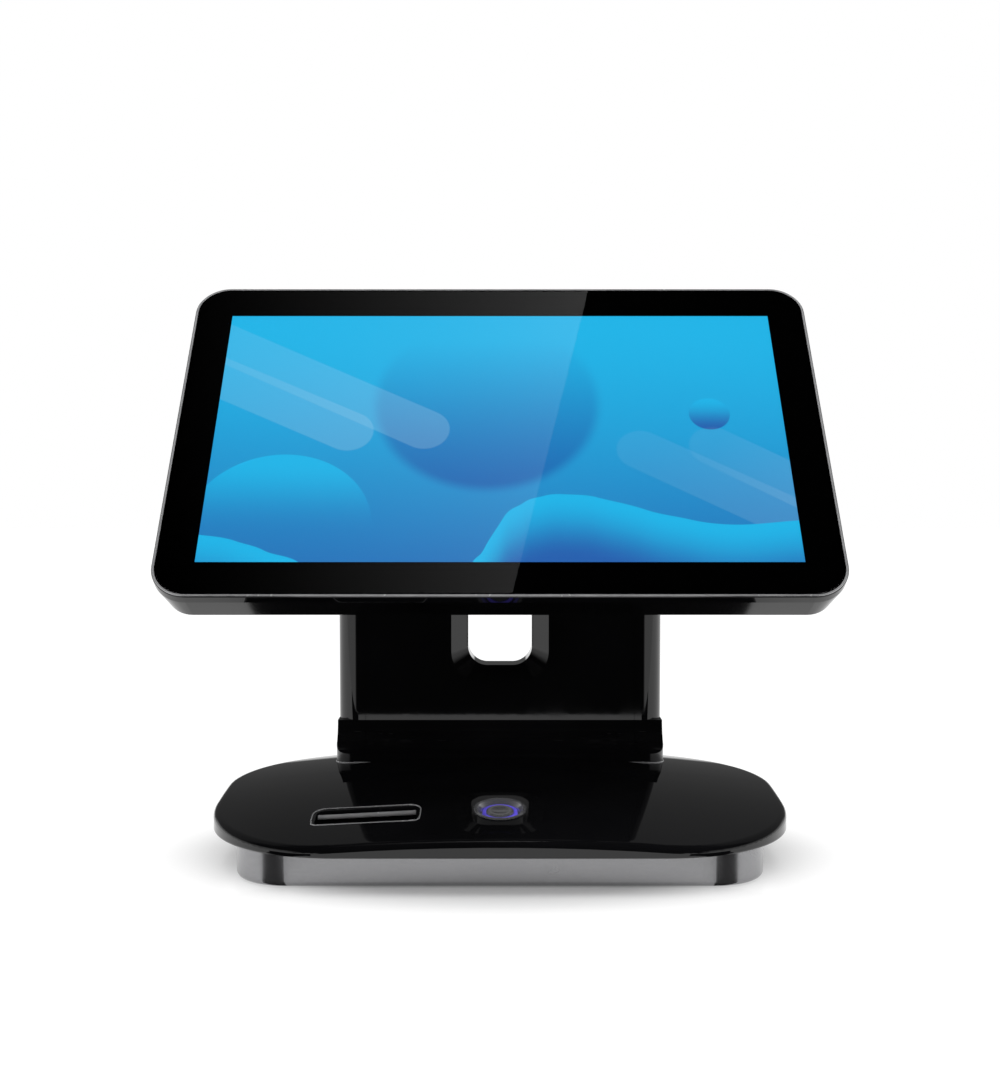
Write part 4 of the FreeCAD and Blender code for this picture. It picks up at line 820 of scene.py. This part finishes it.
def make_glare(studio):
    """The bright ceiling card that the glass mirrors on its left, cut off along a slant."""
    eye = Vector((0, -studio.camera_away, studio.camera_up))
    height = 1.6

    def mirrored(u, v):
        """Where the ceiling meets the camera's ray off one point of the glass."""
        point = SCREEN @ Vector((u, v, 0))
        ray = (point - eye).normalized()
        ray -= 2 * ray.dot(NORMAL) * NORMAL
        return point + ray * (height - point.z) / ray.z

    top, low, left = GLASS_H / 2, -GLASS_H / 2, -GLASS_W / 2
    slant = (studio.glare_top, studio.glare_low)
    corners = [mirrored(left, low), mirrored(slant[1], low), mirrored(slant[0], top), mirrored(left, top)]
    material = bpy.data.materials.new("studio_card")
    material.use_nodes = True
    tree = material.node_tree
    tree.nodes.remove(tree.nodes["Principled BSDF"])
    x, _, _ = parts_of(tree, node(tree, "ShaderNodeTexCoord", out=3))
    start, end = min(c.x for c in corners), max(corners[1].x, corners[2].x)
    share = ((x - start) / (end - start)).most(0.0).least(1.0) ** studio.glare_fade
    colour = mix(tree, share, (0.0, 0.0, 0.0), (1.0, 1.0, 1.0))
    glow = node(tree, "ShaderNodeEmission", None, {"Color": colour, "Strength": studio.glare_level})
    tree.links.new(glow.socket, tree.nodes["Material Output"].inputs["Surface"])
    stage_sheet("glare_card", corners, material, camera=False)


def make_lamp(name, place, aim, width, height, power):
    data = bpy.data.lights.new(name, "AREA")
    data.shape, data.size, data.size_y, data.energy = "RECTANGLE", width, height, power
    lamp = bpy.data.objects.new(name, data)
    direction = Vector(aim) - Vector(place)
    lamp.matrix_world = Matrix.Translation(place) @ direction.to_track_quat("-Z", "Y").to_matrix().to_4x4()
    lamp.visible_glossy = lamp.visible_transmission = False
    bpy.context.scene.collection.objects.link(lamp)


class TILL_OT_studio(bpy.types.Operator):
    """Set up the camera, the white floor and world, the cards and the soft lamp"""
    bl_idname = "till.studio"
    bl_label = "Studio"

    def execute(self, context):
        studio = context.scene.till_studio
        context.scene.view_settings.view_transform = "Standard"
        make_camera(studio)
        make_world(studio)
        make_floor(studio)
        make_flags(studio)
        make_glare(studio)
        make_lamp("top_softbox", (0.0, -0.2, 1.4), (0, 0, 0.1), 1.2, 1.0, studio.lamp_power)
        return {"FINISHED"}


# ---------------------------------------------------------------- settings
class TillFinishSettings(bpy.types.PropertyGroup):
    gloss_black: FloatVectorProperty(name="Gloss black", description="Colour of the polished mouldings",
                                     subtype="COLOR", size=3, min=0, max=1, default=(0.0028, 0.0028, 0.0032))
    lacquer_grey: FloatVectorProperty(name="Lacquer grey",
                                      description="Colour of the plinth's metallic lacquer",
                                      subtype="COLOR", size=3, min=0, max=1, default=(0.34, 0.34, 0.35))
    ring_colour: FloatVectorProperty(name="Ring light", description="Colour of the light round the button",
                                     subtype="COLOR", size=3, min=0, max=1, default=(0.16, 0.12, 0.95))
    picture_top: FloatVectorProperty(name="Picture, top", description="Colour at the top of the picture",
                                     subtype="COLOR", size=3, min=0, max=1, default=(0.018, 0.50, 0.87))
    picture_low: FloatVectorProperty(name="Picture, bottom",
                                     description="Colour at the bottom of the picture",
                                     subtype="COLOR", size=3, min=0, max=1, default=(0.024, 0.130, 0.46))


class TillSizeSettings(bpy.types.PropertyGroup):
    bead_radius: FloatProperty(name="Bead radius", description="Radius of the polished beads",
                               subtype="DISTANCE", unit="LENGTH", min=0.0001, default=0.0004)
    slot_width: FloatProperty(name="Slot width", description="Width of the card slot's mouth",
                              subtype="DISTANCE", unit="LENGTH", default=0.0632)
    slot_depth: FloatProperty(name="Slot depth", description="Depth of the card slot's mouth, front to back",
                              subtype="DISTANCE", unit="LENGTH", default=0.0226)
    slot_corner: FloatProperty(name="Slot corner", description="Corner radius of the card slot's mouth",
                               subtype="DISTANCE", unit="LENGTH", default=0.0073)
    foot_ribs: IntProperty(name="Foot grooves", description="Grooves under each rubber foot",
                           min=1, max=6, default=3)


class TillStudioSettings(bpy.types.PropertyGroup):
    lens: FloatProperty(name="Lens", description="Focal length on a 36 mm sensor", default=46.83)
    camera_away: FloatProperty(name="Camera distance", description="Camera ahead of the base's middle",
                               subtype="DISTANCE", unit="LENGTH", default=0.868)
    camera_up: FloatProperty(name="Camera height", description="Camera above the counter",
                             subtype="DISTANCE", unit="LENGTH", default=0.2395)
    camera_down: FloatProperty(name="Camera pitch", description="How far the camera looks down",
                               subtype="ANGLE", unit="ROTATION", default=math.radians(3.0))
    ambient: FloatProperty(name="Ambient", description="Level of the world's light on the object",
                           min=0, default=0.80)
    back_level: FloatProperty(name="Back level", description="Level of the dim studio that gloss sees behind",
                              min=0, max=1, default=0.11)
    flank_level: FloatProperty(name="Flank level",
                               description="Level of the low light that gloss sees at the sides",
                               min=0, max=1, default=0.8)
    floor_glow: FloatProperty(name="Floor glow",
                              description="Share of the floor's white that no shadow takes away",
                              min=0, max=1, default=0.12)
    lamp_power: FloatProperty(name="Lamp power", description="Power of the soft lamp overhead",
                              subtype="POWER", unit="POWER", min=0, default=7.0)
    glare_level: FloatProperty(name="Glare level",
                               description="Brightness of the card that the glass mirrors",
                               min=0, default=0.8)
    glare_fade: FloatProperty(name="Glare fade", description="How fast the card darkens to the left", min=0.1,
                              default=2.2)
    glare_top: FloatProperty(name="Glare edge, top",
                             description="Where the card's edge meets the top of the glass",
                             subtype="DISTANCE", unit="LENGTH", default=0.0574)
    glare_low: FloatProperty(name="Glare edge, bottom", description="Where it meets the bottom of the glass",
                             subtype="DISTANCE", unit="LENGTH", default=0.0068)


class TILL_PT_panel(bpy.types.Panel):
    """Settings and steps of the till"""
    bl_idname = "TILL_PT_panel"
    bl_label = "Touchscreen till"
    bl_space_type = "VIEW_3D"
    bl_region_type = "UI"
    bl_category = "Till"

    def draw(self, context):
        for key in SETTINGS:
            group = getattr(context.scene, key)
            box = self.layout.box()
            for name in group.__annotations__:
                box.prop(group, name)
        for step in STEPS:
            self.layout.operator(step.bl_idname)


SETTINGS = {"till_finish": TillFinishSettings, "till_sizes": TillSizeSettings,
            "till_studio": TillStudioSettings}
STEPS = (TILL_OT_paint_frame, TILL_OT_lit_picture, TILL_OT_cover_glass, TILL_OT_card_slot, TILL_OT_foot_bead,
         TILL_OT_button_light, TILL_OT_feet, TILL_OT_contacts, TILL_OT_studio)


def register():
    for kind in (*SETTINGS.values(), *STEPS, TILL_PT_panel):
        bpy.utils.register_class(kind)
    for key, kind in SETTINGS.items():
        setattr(bpy.types.Scene, key, PointerProperty(type=kind))


def unregister():
    for key in SETTINGS:
        delattr(bpy.types.Scene, key)
    for kind in (TILL_PT_panel, *reversed(STEPS), *reversed(list(SETTINGS.values()))):
        bpy.utils.unregister_class(kind)


def main():
    register()
    for step in STEPS:
        family, name = step.bl_idname.split(".")
        getattr(getattr(bpy.ops, family), name)()


if __name__ == "__main__":
    main()
